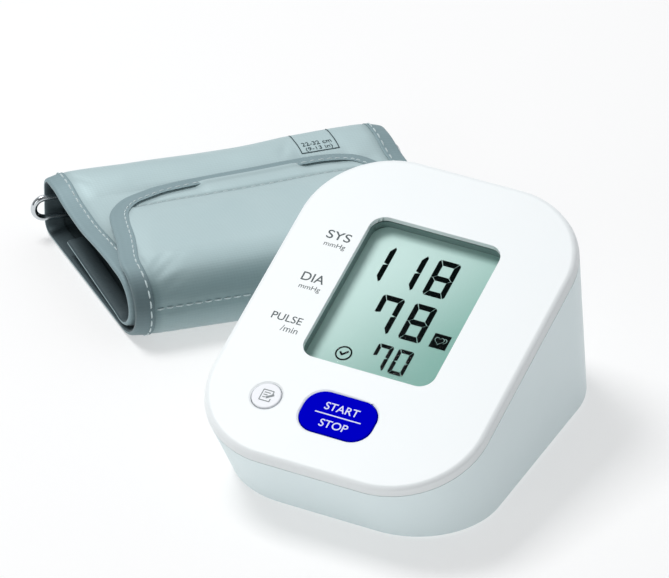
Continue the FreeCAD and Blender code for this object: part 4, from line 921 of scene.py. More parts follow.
@dataclass
class DeskUnit:
    """The monitor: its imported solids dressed, and the marks on display, face and keys."""

    frame: dict
    key_v: float = -42.8
    key_proud: float = 0.2
    memory_u: float = -27.0
    glass_depth: float = 6.3
    window_v: float = 8.8
    mark_height: float = 0.12
    bar: float = 0.125
    beam: float = 0.135
    bar_gap: float = 0.2
    # middle and direction, on the face in millimetres, of the glass's grade from painted reflection to
    # painted shade
    painted_light_middle: Pair = (2.4, -1.8)
    painted_light_way: Pair = (0.8, -0.6)
    tick_place: Pair = (-12.5, -14.0)
    heart_place: Pair = (17.0, 0.95)
    heart_half: float = 1.9
    # figures of each reading, then their right and lower edge, width, height and pitch
    readings: tuple[tuple[str, float, float, float, float, float], ...] = (
        ("118", 10.5, 17.8, 8.3, 15.6, 12.2), ("78", 10.5, -2.1, 8.3, 15.7, 12.2),
        ("70", 10.8, -16.8, 5.8, 10.7, 7.6))
    # words of each print, then their place on the face, width, height and weight
    prints: tuple[tuple[str, float, float, float, float, float], ...] = (
        ("SYS", -32.6, 27.4, 9.0, 3.6, 0.006), ("mmHg", -32.4, 23.0, 8.0, 2.5, 0.0),
        ("DIA", -33.3, 8.0, 8.5, 3.6, 0.006), ("mmHg", -32.8, 3.5, 8.0, 2.5, 0.0),
        ("PULSE", -34.5, -10.6, 11.4, 3.0, 0.004), ("/min", -31.7, -14.8, 6.4, 2.6, 0.0))
    finishes: dict[str, Finish] = field(default_factory=lambda: {
        "front_cover": COVER_WHITE, "lower_case": CASE_GREY, "case_screws": SCREW_STEEL, "feet": FOOT_RUBBER,
        "display_window": LENS_CLEAR, "lcd_frame": FRAME_TEAL, "lcd_connectors": STRIP_RUBBER,
        "main_board": BOARD, "board_screws": SCREW_STEEL, "controller_chip": CHIP_BLACK,
        "start_switch": SWITCH_BLACK, "start_plunger": SWITCH_BLACK, "start_button": KEY_BLUE,
        "memory_switch": SWITCH_BLACK, "memory_plunger": SWITCH_BLACK, "memory_button": KEY_WHITE,
        "battery_flat_contacts": NICKEL, "battery_leaf_contacts": NICKEL, "battery_door": CASE_GREY,
        "air_jack": SOCKET_BLACK, "power_jack": SOCKET_BLACK, "power_pin": PIN_BRASS,
        "air_manifold": AIR_PLASTIC, "jack_hose": HOSE, "pump_hose": HOSE, "valve_hose": HOSE,
        "sensor_hose": HOSE, "pressure_sensor": CHIP_BLACK, "pump_head": AIR_PLASTIC, "pump_motor": MOTOR_CAN,
        "pump_shaft": SHAFT_STEEL, "pump_cradle": FOAM, "release_valve": AIR_PLASTIC,
        "valve_plunger": SHAFT_STEEL, "valve_cap": NICKEL,
        "battery_1": CELL, "battery_2": CELL, "battery_3": CELL, "battery_4": CELL,
    })
    smoothed: tuple[str, ...] = ("front_cover", "lower_case", "start_button", "memory_button", "lcd_frame",
                                 "feet", "air_jack", "power_jack", "battery_door")

    def __post_init__(self) -> None:
        """Take the face's frame from the start key's joint."""
        press = next(j for j in self.frame["joints"] if j["name"] == "start_press")
        normal = -Vector(press["axis"]).normalized()
        up_slope = normal.cross(Vector((1, 0, 0))).normalized()
        middle = Vector(press["pos_m"]) - up_slope * self.key_v * MM
        turn = Matrix((Vector((1, 0, 0)), up_slope, normal)).transposed().to_4x4()
        self.face = Matrix.Translation(middle) @ turn

    def build(self) -> None:
        """Dress the solids and add every mark."""
        self.dress_solids()
        self.display_figures()
        self.display_signs()
        self.face_prints()
        self.start_legend()
        self.memory_sign()

    def on_face(self, piece: Piece, u: float, v: float, w: float) -> Piece:
        """Put a piece that lies flat at the origin onto the face.

        Args:
            piece: the piece.
            u: millimetres to the right of the face's middle.
            v: millimetres up the slope.
            w: millimetres out of the face.

        Returns:
            The same piece.
        """
        piece.data.transform(self.face @ Matrix.Translation(Vector((u, v, w)) * MM))
        return piece

    def done(self, piece: Piece, finish: Finish, body: str) -> None:
        """Dress a finished mark and let it ride on a body.

        Args:
            piece: the mark.
            finish: its finish.
            body: body that it rides on.
        """
        dress(piece, finish)
        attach(piece, body)
        LOG.info("made %s", piece.name)

    def dress_solids(self) -> None:
        """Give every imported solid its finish, and the rounded shells a smooth skin."""
        across, up = self.painted_light_middle
        middle = self.face @ (Vector((across, self.window_v + up, -self.glass_depth)) * MM)
        slope = self.face.to_3x3() @ Vector((*self.painted_light_way, 0))
        # the glass's two colours are painted light: lighter painted reflection at the upper left, darker
        # painted shade at the lower right
        glass = DisplayGlass("liquid_crystal_glass", "display_mint", "#CEF0E9", 0.4, "#61A99A",
                             tuple(middle), tuple(slope))
        for node, finish in {**self.finishes, "lcd_panel": glass}.items():
            if node in self.smoothed:
                skin(self.frame["nodes"][node], finish)
            else:
                dress(self.frame["nodes"][node], finish)

    def bar_outline(self, segment: Segment, width: float, height: float,
                    taper: float) -> list[Pair]:
        """Outline of one bar of a display figure.

        Args:
            segment: which bar.
            width: width of the figure in millimetres.
            height: height of the figure in millimetres.
            taper: slant of an upright's end at mid-height, as a share of the beam.

        Returns:
            Corner points in millimetres, from the figure's lower left corner.
        """
        kind, mirror_across, mirror_up = segment.value
        bar, beam = self.bar * height, self.beam * height
        gap, corner, middle = self.bar_gap, 0.35 * bar, height / 2
        tip, inner = corner + gap, bar + gap / 2
        if kind == "level":
            points = [(tip, height), (width - tip, height), (width - inner, height - beam),
                      (inner, height - beam)]
        elif kind == "middle":
            points = [(tip, middle), (inner, middle + beam / 2), (width - inner, middle + beam / 2),
                      (width - tip, middle), (width - inner, middle - beam / 2), (inner, middle - beam / 2)]
        else:
            points = [(width - corner + gap / 2, height - gap / 2), (width, height - corner - gap),
                      (width, middle + gap / 2), (width - corner, middle + gap / 2),
                      (width - bar, middle + beam * taper + gap), (width - bar, height - beam - gap)]
        return [(width - x if mirror_across else x, height - y if mirror_up else y) for x, y in points]

    def display_figures(self) -> None:
        """Set the three readings in seven-bar figures on the glass."""
        bars = []
        for figures, right, low, width, height, pitch in self.readings:
            for place, figure in enumerate(figures):
                left = right - width - (len(figures) - 1 - place) * pitch
                # uprights that meet no middle bar end almost level
                taper = 0.5 if Segment.MIDDLE in FIGURES[figure] else 0.15
                for segment in FIGURES[figure]:
                    bar = plate("bar", self.bar_outline(segment, width, height, taper), self.mark_height)
                    bars.append(self.on_face(bar, left, low, -self.glass_depth))
        self.done(join(bars, "display_figures"), SEGMENT_BLACK, "monitor")

    def display_signs(self) -> None:
        """Add the round cuff sign with its tick and the square heart sign."""
        ring = hoop("ring", 3.0, 0.55, self.mark_height)
        tick = plate("tick", ((-1.7, 0.1), (-1.2, 0.6), (-0.4, -0.2), (1.2, 1.4), (1.7, 0.9), (-0.4, -1.2)),
                     self.mark_height)
        square = plate("square", rectangle(-3.05, -3.0, 3.05, 3.0), self.mark_height)
        for sign, place in ((ring, self.tick_place), (tick, self.tick_place), (square, self.heart_place)):
            self.on_face(sign, *place, -self.glass_depth)
        self.done(join([ring, tick, square], "display_signs"), SEGMENT_BLACK, "monitor")
        hearts = [self.heart_line(-0.4, 0.0, 1.0), self.heart_line(0.55, 0.1, 0.36)]
        self.done(join(hearts, "display_heart"), SEGMENT_CLEAR, "monitor")

    def heart_line(self, shift: float, first: float, last: float) -> Piece:
        """A heart's outline, or a part of it, as a thin line.

        Args:
            shift: millimetres to the right of the sign's middle.
            first: share of the way round where the line starts.
            last: share of the way round where it ends.

        Returns:
            The line, on the glass.
        """
        def point(share: float, scale: float) -> Pair:
            """A point of the heart in metres, for a share of the way round and a scale."""
            angle = share * 2 * math.pi
            x = 16 * math.sin(angle) ** 3
            y = 13 * math.cos(angle) - 5 * math.cos(2 * angle) - 2 * math.cos(3 * angle) - math.cos(4 * angle)
            size = self.heart_half / 17 * scale * MM
            return x * size, (y + 2) * size

        def place(across: float, along: float) -> Vector:
            """A point of the line: across it towards the heart's middle, and along it."""
            x, y = point(first + (last - first) * along, 1.0 - 0.12 * across)
            return Vector((x, y, self.mark_height * 1.3 * MM))

        line = swept_sheet("heart", 1, 48, place, point)
        u, v = self.heart_place
        return self.on_face(line, u + shift, v, -self.glass_depth)

    def lettering(self, text: str, u: float, v: float, w: float, size: Pair,
                  weight: float = 0.0) -> Piece:
        """Set plain words on the face.

        Args:
            text: what is written.
            u: millimetres to the right of the face's middle.
            v: millimetres up the slope.
            w: millimetres out of the face.
            size: width and height of the words in millimetres.
            weight: how much the strokes are thickened, as a share of the letter size.

        Returns:
            The words as a mesh.
        """
        return self.on_face(words(text, size, self.mark_height / 2, weight), u, v, w)

    def face_prints(self) -> None:
        """Print the plain names and units of the three readings beside the display."""
        marks = [self.lettering(text, u, v, 0.0, (wide, high), weight)
                 for text, u, v, wide, high, weight in self.prints]
        self.done(join(marks, "face_prints"), PRINT_GREY, "monitor")

    def start_legend(self) -> None:
        """Print the start key: two plain words and the line between them."""
        line = plate("line", rectangle(-8.5, -0.22, 8.5, 0.22), self.mark_height / 2)
        parts = [self.lettering("START", 0.3, self.key_v + 2.8, self.key_proud, (12.6, 3.1), 0.008),
                 self.lettering("STOP", 0.3, self.key_v - 4.2, self.key_proud, (10.4, 3.1), 0.008),
                 self.on_face(line, 0.2, self.key_v - 0.55, self.key_proud)]
        self.done(join(parts, "start_legend"), PRINT_WHITE, "start_key")

    def memory_sign(self) -> None:
        """Draw the memory key's sign: a sheet of paper with lines and a pen."""
        def bar(x0: float, y0: float, x1: float, y1: float, wide: float) -> Piece:
            """A straight stroke between two points, in millimetres."""
            start, end = Vector((x0, y0)), Vector((x1, y1))
            side = (end - start).normalized().orthogonal() * wide / 2
            corners = [start + side, end + side, end - side, start - side]
            return plate("stroke", corners, self.mark_height / 2)

        strokes = ((-1.9, 2.2, 1.9, 2.2), (-1.9, -2.2, 1.9, -2.2), (-1.9, -2.2, -1.9, 2.2),
                   (1.9, 2.2, 1.9, 0.9), (1.9, -2.2, 1.9, -1.0), (-1.2, 1.2, 1.0, 1.2),
                   (-1.2, 0.2, 0.3, 0.2), (-1.2, -0.8, -0.2, -0.8))
        parts = [bar(*stroke, 0.34) for stroke in strokes]
        parts.append(bar(0.1, -0.9, 2.5, 0.9, 0.85))
        for part in parts:
            self.on_face(part, self.memory_u + 0.1, self.key_v, self.key_proud)
        self.done(join(parts, "memory_sign"), PRINT_SOFT, "memory_key")


# Arm cuff

@dataclass
class ArmCuff:
    """The rolled cuff: one sheet that spirals in from the flap's free end to the ring.

    A place on the sheet is given by a, millimetres along the roll from its left end, by t, millimetres
    along the sheet from the flap's free end, and by the offset to the outer side.
    """

    frame: dict
    # where the roll lies, and its section: half the sheet, runs, folds, gaps and slopes in degrees
    corner: Pair = (-172.87, 50.64)
    turn: float = 51.6
    skew: float = 9.0
    length: float = 126.5
    run: float = 59.5
    half: float = 1.4
    rear_fold: float = 11.4
    rear_corner: float = 4.0
    layer_gap: float = 0.3
    inside_gap: float = 0.5
    front_gap: float = 4.4
    flap_run: float = 55.5
    flap_slope: float = 0.3
    top_slope: float = 4.5
    inner_run: float = 45.0
    inner_slope: float = 5.2
    floor_clear: float = 0.25
    # cloth, and the tape that draws its edge thin
    cloth: float = 0.6
    cloth_cells: tuple[int, int] = (300, 100)
    cloth_inset: float = 0.6
    edge_half: float = 0.6
    edge_reach: float = 9.0
    tape_width: float = 6.5
    tape_sheet: float = 0.35
    tape_lift: float = 0.15
    path_step: float = 1.5
    # soft ripples, and how they fade at the roll's ends
    ripple: float = 0.2
    ripple_size: Pair = (21.0, 17.0)
    end_fade: Pair = (2.0, 12.0)
    # front fold: its crease, and height, angle and width in degrees of the swells above and below it
    crease: float = 84.0
    crease_depth: float = 1.4
    crease_width: float = 8.0
    upper_swell: Triple = (0.9, 48.0, 24.0)
    lower_swell: Triple = (0.5, 122.0, 20.0)
    # how the flap is pressed down towards its bound edge and free end
    flap_press: float = 1.9
    press_reach: float = 24.0
    press_fade: Pair = (12.0, 56.0)
    # where the rear's swell begins and ends round the top layer's start, and the lift of the inner turn
    rear_reach: Pair = (6.0, 18.0)
    inner_lift: Pair = (0.6, 0.3)
    # seam across the flap, and the strip between it and the tape
    seam_start: float = 18.5
    seam_shift: float = 1.9
    seam_bend: Pair = (55.0, 90.0)
    seam_ends: Pair = (21.0, 103.0)
    seam_depth: float = 0.55
    seam_width: float = 1.2
    seam_reach: float = 5.0
    strip_rise: Pair = (17.0, 24.0)
    strip_end: float = 106.0
    strip_fall: float = 7.0
    roll_height: float = 1.0
    roll_rise: Pair = (45.0, 50.0)
    roll_end: float = 89.0
    roll_fall: float = 6.0
    roll_start: float = 3.2
    roll_edge: Pair = (2.9, 4.6)
    roll_power: float = 0.8
    sink_depth: float = 0.75
    sink_past_tape: float = 0.8
    sink_width: float = 1.5
    # shares of painted shade above and below the crease, on the seam and along the tape, and the most of all
    painted_shade_above: float = 0.7
    painted_shade_below: float = 0.6
    painted_shade_fade: float = 0.25
    painted_shade_seam: float = 0.45
    painted_shade_seam_width: float = 0.9
    painted_shade_tape: float = 0.2
    painted_shade_tape_width: float = 1.5
    painted_shade_most: float = 0.85
    # cloth simulation
    slack: float = 0.0015
    billow_limit: float = 0.8
    billow_scale: float = 10.0
    billow_pressure: float = 3.5
    billow_mass: float = 0.3
    billow_frames: int = 20
    # thread
    thread: float = 0.3
    stitch: float = 2.7
    stitch_pitch: float = 3.5
    stitch_inset: float = 1.4
    stitch_lift: float = 0.1
    crease_margin: float = 7.5
    crease_rise: float = 0.35
    # printed size and hook patch
    label_a: float = 98.4
    label_drop: float = 3.4
    label_sheet: float = 0.05
    hook_margin: float = 25.0
    hook_start: float = 12.0
    hook_width: float = 24.0
    hook_sheet: float = 0.7
    # lines along the roll: the flap's free edge, the swell at the rear and the dip of the top layer
    flap_line: Outline = (
        (0.0, 73.7), (0.3, 71.9), (0.9, 69.2), (1.8, 66.2), (3.2, 62.0), (5.2, 55.6), (6.9, 48.5),
        (9.0, 40.6), (10.4, 36.8), (12.3, 33.7),
        (15.8, 30.0), (19.7, 27.2), (25.4, 25.0), (33.2, 22.7), (51.5, 20.8), (71.5, 19.7), (88.5, 18.5),
        (96.5, 18.5), (104.0, 19.9), (109.5, 22.9), (112.5, 26.9), (116.0, 35.0), (119.0, 46.0),
        (121.5, 55.6), (123.3, 62.0), (124.7, 66.2), (125.6, 69.2), (126.2, 71.9), (126.5, 73.7))
    rear_swell: Outline = ((0.0, -0.5), (8.0, 0.3), (30.0, 0.9), (60.0, 0.6), (90.0, 0.9), (110.0, 1.5),
                           (121.0, 1.2), (126.5, 0.2))
    layer_dip: Outline = ((0.0, 0.0), (6.0, 0.2), (14.0, -1.1), (23.0, -1.3), (31.0, -1.0), (43.0, 1.0),
                          (54.0, 2.4), (63.0, 2.8), (74.0, 4.0), (86.0, 0.6))

    def __post_init__(self) -> None:
        """Work out the section's moves: straight runs and folds."""
        turn, lean = math.radians(self.turn), math.radians(self.turn - self.skew)
        self.across = Vector((math.sin(turn), -math.cos(turn), 0))
        self.along = Vector((math.cos(lean), math.sin(lean), 0))
        half, rear, corner = self.half, self.rear_fold, self.rear_corner
        slope = math.radians(self.flap_slope)
        drop = self.flap_run * math.sin(slope)
        self.outer_fold = rear + half + (self.layer_gap + drop) / 2
        square = rear - corner
        front = half + rear + self.run
        inner = rear - half - self.inside_gap / 2
        top_run = self.run + self.outer_fold - 2 * half - self.front_gap - inner + square
        inner -= top_run * math.sin(math.radians(self.top_slope)) / 2
        self.start = (front - self.flap_run * math.cos(slope) - self.outer_fold * math.sin(slope),
                      half + 2 * self.outer_fold - drop)
        self.moves = [(self.flap_run, 0.0), self.fold(self.outer_fold, 180 + self.flap_slope),
                      (self.run + square, 0.0), self.fold(corner, 90), (2 * square, 0.0),
                      self.fold(corner, 90 + self.top_slope), (top_run, 0.0),
                      self.fold(inner, 180 - self.top_slope + self.inner_slope), (self.inner_run, 0.0)]
        marks = [0.0]
        for length, _ in self.moves:
            marks.append(marks[-1] + length)
        self.front_start, self.front_end, self.rear_start = marks[1], marks[2], marks[4]
        self.top_start, self.inner_start, self.total = marks[6], marks[8], marks[9]
        self.flap_end = self.flap_run + 2.0
        self.crease_place = self.front_start + self.outer_fold * math.radians(self.crease)
        self.path = self.edge_path()

    @staticmethod
    def fold(radius: float, degrees: float) -> Pair:
        """Length and curvature of a fold."""
        return radius * math.radians(degrees), 1 / radius

    def section(self, t: float) -> Triple:
        """Point and heading of the section's mid-line.

        Args:
            t: millimetres along the sheet.

        Returns:
            Distance from the roll's rear, height, and heading in radians.
        """
        s, z = self.start
        heading = math.radians(self.flap_slope)
        left = t
        for length, curve in self.moves:
            step = min(left, length)
            if curve:
                centre_s, centre_z = s + math.sin(heading) / curve, z - math.cos(heading) / curve
                heading -= step * curve
                s, z = centre_s - math.sin(heading) / curve, centre_z + math.cos(heading) / curve
            else:
                s, z = s + step * math.cos(heading), z + step * math.sin(heading)
            left -= step
            if left <= 0:
                break
        return s, z, heading

    def flap_edge(self, a: float) -> float:
        """Where the sheet begins, in millimetres along it, at a place along the roll."""
        s = through(self.flap_line, a)
        return (s - self.start[0]) / math.cos(math.radians(self.flap_slope))

    def seam(self, a: float) -> float:
        """Where the seam across the flap lies, in millimetres along the sheet."""
        return self.seam_start - self.seam_shift * smooth_step(a, *self.seam_bend)

    def edge_depth(self, a: float, t: float) -> float:
        """Distance from the sheet's bound edge.

        Args:
            a: millimetres along the roll.
            t: millimetres along the sheet.

        Returns:
            Millimetres to the nearest bound edge.
        """
        side = min(a, self.length - a)
        if t > self.flap_end + self.edge_reach:
            return side
        slope = self.flap_edge(a + 0.5) - self.flap_edge(a - 0.5)
        return min(side, (t - self.flap_edge(a)) / math.hypot(1, slope))

    def thick(self, depth: float) -> float:
        """Half the sheet's thickness at a distance from its bound edge, where the tape draws it thin."""
        return self.edge_half + (self.half - self.edge_half) * smooth_step(depth, 0.5, self.edge_reach)

    def sag(self, a: float, t: float) -> float:
        """How far the rolled sheet stands out from its plain section.

        Args:
            a: millimetres along the roll.
            t: millimetres along the sheet.

        Returns:
            Millimetres to the outer side.
        """
        ends = smooth_step(a, *self.end_fade) * smooth_step(self.length - a, *self.end_fade)
        wide, long = self.ripple_size
        out = self.ripple * noise.noise(Vector((a / wide, t / long, 3.0))) * ends
        if t < self.front_end:
            angle = math.degrees(max(t - self.front_start, 0.0) / self.outer_fold)
            crease = (-self.crease_depth, self.crease, self.crease_width)
            swells = (self.upper_swell, crease, self.lower_swell)
            out += ends * sum(high * hump(angle, middle, width) for high, middle, width in swells)
            rest = 1 - smooth_step(self.edge_depth(a, t), 0, self.press_reach)
            out -= self.flap_press * rest * (1 - smooth_step(t, *self.press_fade))
        elif self.rear_start < t < self.inner_start:
            before, after = self.rear_reach
            rear = smooth_step(t, self.rear_start, self.top_start - before)
            rear *= 1 - smooth_step(t, self.top_start, self.top_start + after)
            out += through(self.rear_swell, a) * rear
            out += through(self.layer_dip, max(t - self.top_start, 0.0))
        elif t >= self.inner_start:
            first, more = self.inner_lift
            out += first + more * (t - self.inner_start) / self.inner_run
        return out

    def strip(self, a: float, t: float) -> float:
        """How far the outer cloth swells or sinks beside the tape on the flap's free end.

        Args:
            a: millimetres along the roll.
            t: millimetres along the sheet.

        Returns:
            Millimetres to the outer side.
        """
        seam = self.seam(a)
        if t > seam + self.seam_reach:
            return 0.0
        depth = self.edge_depth(a, t)
        sewn = smooth_step(a, *self.strip_rise) * smooth_step(self.strip_end - a, 0, self.strip_fall)
        middle = smooth_step(a, *self.roll_rise) * smooth_step(self.roll_end - a, 0, self.roll_fall)
        width = max(seam - self.flap_edge(a), self.tape_width + 2)
        share = min(max((depth - self.roll_start) / (width - self.roll_start), 0.0), 1.0)
        rolled = smooth_step(depth, *self.roll_edge) * math.cos(share * math.pi / 2) ** self.roll_power
        sunk = hump(depth, self.tape_width + self.sink_past_tape, self.sink_width) * (t < seam)
        return sewn * (self.roll_height * middle * rolled - self.sink_depth * (1 - middle) * sunk
                       - self.seam_depth * hump(t, seam, self.seam_width))

    def point(self, a: float, t: float, offset: float) -> Vector:
        """A point of the rolled sheet.

        Args:
            a: millimetres along the roll.
            t: millimetres along the sheet.
            offset: millimetres from the sheet's mid-line to the outer side.

        Returns:
            The point in metres.
        """
        s, z, heading = self.section(t)
        out = offset + self.sag(a, t)
        s -= out * math.sin(heading)
        z = max(z + out * math.cos(heading), self.floor_clear)
        place = Vector((*self.corner, 0)) + self.along * a + self.across * s + Vector((0, 0, z))
        return place * MM

    def build(self) -> None:
        """Make the cuff's soft pieces and dress its ring and port."""
        self.outer_cloth()
        self.inner_cloth()
        self.binding_tape()
        self.stitching()
        self.size_label()
        self.webbing()
        self.hook_patch()
        skin(self.frame["nodes"]["cuff_ring"], RING_CHROME)
        skin(self.frame["nodes"]["cuff_hose_port"], SOCKET_BLACK)
        LOG.info("cuff sheet is %.0f by %.0f mm flat", self.length, self.total)

    def finished(self, piece: Piece, finish: Finish, *nodes: str) -> None:
        """Smooth and dress a soft piece, and let it ride on the cuff.

        Args:
            piece: the piece.
            finish: its finish.
            nodes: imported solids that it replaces.
        """
        smooth(piece, 60)
        dress(piece, finish)
        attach(piece, "cuff")
        if nodes:
            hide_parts(*nodes)
        LOG.info("made %s", piece.name)

    def sheet_place(self, row: float, column: float) -> Pair:
        """Place on the sheet for two shares.

        Args:
            row: share of the way from the flap's edge inwards.
            column: share of the way along the roll.

        Returns:
            Millimetres along the roll and along the sheet.
        """
        a = self.cloth_inset + (self.length - 2 * self.cloth_inset) * column
        t = row * self.total
        edge = self.flap_edge(a) + self.cloth_inset
        if t < self.flap_end:
            t = edge + (self.flap_end - edge) * t / self.flap_end
        return a, t

    def cloth_grid(self, name: str, side: int) -> Piece:
        """One face of the cuff as a sheet.

        Args:
            name: name of the piece.
            side: 1 for the outer face and -1 for the inner one.

        Returns:
            The sheet, one layer of faces.
        """
        def place(row: float, column: float) -> Vector:
            """A point of this face for two shares."""
            a, t = self.sheet_place(row, column)
            swell = self.strip(a, t) if side > 0 else 0.0
            return self.point(a, t, side * self.thick(self.edge_depth(a, t)) + swell)

        def flat(row: float, column: float) -> Pair:
            """The same point's flat measures in metres."""
            a, t = self.sheet_place(row, column)
            return a * MM, t * MM

        return swept_sheet(name, *self.cloth_cells, place, flat)

    def outer_cloth(self) -> None:
        """The outer cloth, blown up a little between its seams."""
        piece = self.cloth_grid("cuff_outer_fabric", 1)
        self.billow(piece)
        # darken the cloth with painted shade along the front fold, on the seam and beside the tape
        self.mark_painted_shade(piece, self.painted_shade)
        add_modifier(piece, "SOLIDIFY", thickness=self.cloth * MM, offset=-1.0)
        self.finished(piece, CLOTH, "cuff_outer_cloth", "cuff_bladder")

    @staticmethod
    def flat_places(piece: Piece) -> dict[int, Vector]:
        """Places on the sheet of a piece's points, in millimetres, from its UV map."""
        flat = piece.data.uv_layers[0].data
        return {loop.vertex_index: flat[loop.index].uv / MM for loop in piece.data.loops}

    def mark_painted_shade(self, piece: Piece, painted_shade: Callable[[float, float], float]) -> None:
        """Note how much painted shade each point of a piece gets.

        Args:
            piece: the piece.
            painted_shade: gives the share of painted shade for flat measures in millimetres.
        """
        layer = piece.data.attributes.new("painted_shade", "FLOAT", "POINT")
        for index, place in self.flat_places(piece).items():
            layer.data[index].value = painted_shade(*place)

    def fold_painted_shade(self, t: float) -> float:
        """How much painted shade the front fold gets, by the angle round it in degrees.

        Args:
            t: millimetres along the sheet.

        Returns:
            Share of painted shade.
        """
        angle = math.degrees((t - self.front_start) / self.outer_fold)
        above = smooth_step(angle, -18, self.crease - 14) * smooth_step(self.crease + 3 - angle, 0, 4)
        below = smooth_step(angle, self.crease - 1, self.crease + 3) * smooth_step(230 - angle, 0, 40)
        fade = self.painted_shade_fade * smooth_step(angle, self.crease + 4, self.crease + 50)
        return self.painted_shade_above * above + (self.painted_shade_below - fade) * below

    def painted_shade(self, a: float, t: float) -> float:
        """How much painted shade the outer cloth gets along the front fold, the seam and the tape.

        Args:
            a: millimetres along the roll.
            t: millimetres along the sheet.

        Returns:
            Share of painted shade.
        """
        low, top = self.seam_ends
        seams = self.painted_shade_seam * hump(t, self.seam(a), self.painted_shade_seam_width) * (low - 1 < a < top + 1)
        tape = self.painted_shade_tape * hump(self.edge_depth(a, t), self.tape_width + 0.5, self.painted_shade_tape_width)
        return min(self.fold_painted_shade(t) + seams + tape, self.painted_shade_most)

    def sewn(self, a: float, t: float) -> float:
        """How firmly the outer cloth is held.

        Args:
            a: millimetres along the roll.
            t: millimetres along the sheet.

        Returns:
            A share: 1 at tape and seams and where the cloth lies on the table.
        """
        held = max(1 - smooth_step(self.edge_depth(a, t), self.tape_width, self.tape_width + 4),
                   hump(t, self.seam(a), 1.5) * (12 < a < 112))
        label = smooth_step(10.5 - abs(a - self.label_a), 0, 2) * (t > self.rear_start + 8)
        flap = t < self.front_end - 6
        rear = self.rear_start < t < self.top_start + 14
        return max(held, hump(t, self.crease_place, 1.5), label) if flap or rear else 1.0

    def billow(self, piece: Piece) -> None:
        """Blow the sheet up between its seams with a cloth simulation, and limit the movement.

        The simulation runs on an enlarged copy of the shape, because it is steadier at that size.

        Args:
            piece: the sheet, still one layer of faces.
        """
        mesh = piece.data
        before = [vertex.co.copy() for vertex in mesh.vertices]
        group = piece.vertex_groups.new(name="sewn")
        for index, (a, t) in self.flat_places(piece).items():
            group.add([index], self.sewn(a, t), "REPLACE")
        mesh.transform(Matrix.Scale(self.billow_scale, 4))
        pick(piece)
        cloth = piece.modifiers.new("billow", "CLOTH")
        settings = cloth.settings
        settings.quality = 5
        settings.mass = self.billow_mass
        settings.vertex_group_mass = group.name
        settings.use_pressure = True
        settings.uniform_pressure_force = self.billow_pressure
        settings.shrink_min = -self.slack
        settings.effector_weights.gravity = 0.0
        cloth.collision_settings.use_collision = False
        cloth.point_cache.frame_end = self.billow_frames
        for number in range(1, self.billow_frames + 1):
            bpy.context.scene.frame_set(number)
        bpy.ops.object.modifier_apply(modifier=cloth.name)
        largest = 0.0
        for vertex, start in zip(mesh.vertices, before):
            move = vertex.co / self.billow_scale - start
            largest = max(largest, move.length)
            move *= min(1.0, self.billow_limit * MM / max(move.length, 1e-9))
            vertex.co = start + move
            vertex.co.z = max(vertex.co.z, self.floor_clear * MM)
        bpy.context.scene.frame_set(1)
        piece.vertex_groups.clear()
        LOG.info("cloth moved by up to %.2f mm, kept to %.2f mm", largest / MM, self.billow_limit)

    def inner_cloth(self) -> None:
        """The dark lining on the inner side of the roll."""
        piece = self.cloth_grid("cuff_lining", -1)
        with editing(piece):
            bpy.ops.mesh.flip_normals()
        add_modifier(piece, "SOLIDIFY", thickness=self.cloth * MM, offset=-1.0)
        self.finished(piece, LINING, "cuff_inner_cloth")

    def edge_path(self) -> list[Pair]:
        """The bound edge at even steps: up the left end, round the flap and down the right end.

        Returns:
            Places on the sheet.
        """
        columns = [self.length * (1 - math.cos(math.pi * i / 200)) / 2 for i in range(201)]
        corners = [(0.0, self.total), *((a, self.flap_edge(a)) for a in columns), (self.length, self.total)]
        distances = [0.0]
        for before, after in zip(corners, corners[1:]):
            distances.append(distances[-1] + math.dist(before, after))
        count = round(distances[-1] / self.path_step)
        path, index = [], 0
        for number in range(count + 1):
            distance = distances[-1] * number / count
            while index < len(corners) - 2 and distances[index + 1] < distance:
                index += 1
            share = (distance - distances[index]) / (distances[index + 1] - distances[index])
            before, after = corners[index], corners[index + 1]
            path.append(tuple(x + (y - x) * share for x, y in zip(before, after)))
        self.edge_length = distances[-1]
        return path

    def inward(self, share: float, depth: float) -> Pair:
        """A place inside the bound edge.

        Args:
            share: share of the way along the edge.
            depth: millimetres in from the edge.

        Returns:
            Millimetres along the roll and along the sheet.
        """
        path, last = self.path, len(self.path) - 1
        index = min(int(share * last), last - 1)
        rest = share * last - index
        before, after = path[max(index - 3, 0)], path[min(index + 4, last)]
        tangent = Vector((after[0] - before[0], after[1] - before[1])).normalized()
        a, t = (x + (y - x) * rest for x, y in zip(path[index], path[index + 1]))
        return a - tangent.y * depth, t + tangent.x * depth

    def binding_tape(self) -> None:
        """The tape folded over the sheet's edge, one length round both ends and the flap."""
        outside = [(self.tape_width, 1.0), (5.2, 1.0), (3.0, 1.0), (1.1, 1.0), (0.3, 0.8), (0.0, 0.3)]
        profile = outside + [(depth, -side) for depth, side in reversed(outside)]
        count = len(profile) - 1

        def place(across: float, along: float) -> Vector:
            """A point of the tape: across it, round the sheet's edge, and along it."""
            depth, side = profile[round(across * count)]
            high = self.thick(depth) + self.tape_lift + self.tape_sheet / 2
            return self.point(*self.inward(along, depth), side * high)

        def flat(across: float, along: float) -> Pair:
            """Flat measures of the tape in metres."""
            return across * 2 * self.tape_width * MM, along * self.edge_length * MM

        def painted_shade(across: float, along: float) -> float:
            """How much painted shade the tape gets, which its place along the front fold alone decides."""
            return self.fold_painted_shade(self.inward(along / self.edge_length, 0.0)[1])

        piece = swept_sheet("cuff_binding", count, len(self.path) - 1, place, flat)
        self.mark_painted_shade(piece, painted_shade)
        add_modifier(piece, "SOLIDIFY", thickness=self.tape_sheet * MM, offset=0.0)
        add_modifier(piece, "SUBSURF", levels=1, render_levels=1)
        self.finished(piece, TAPE, "cuff_binding_left", "cuff_binding_right")

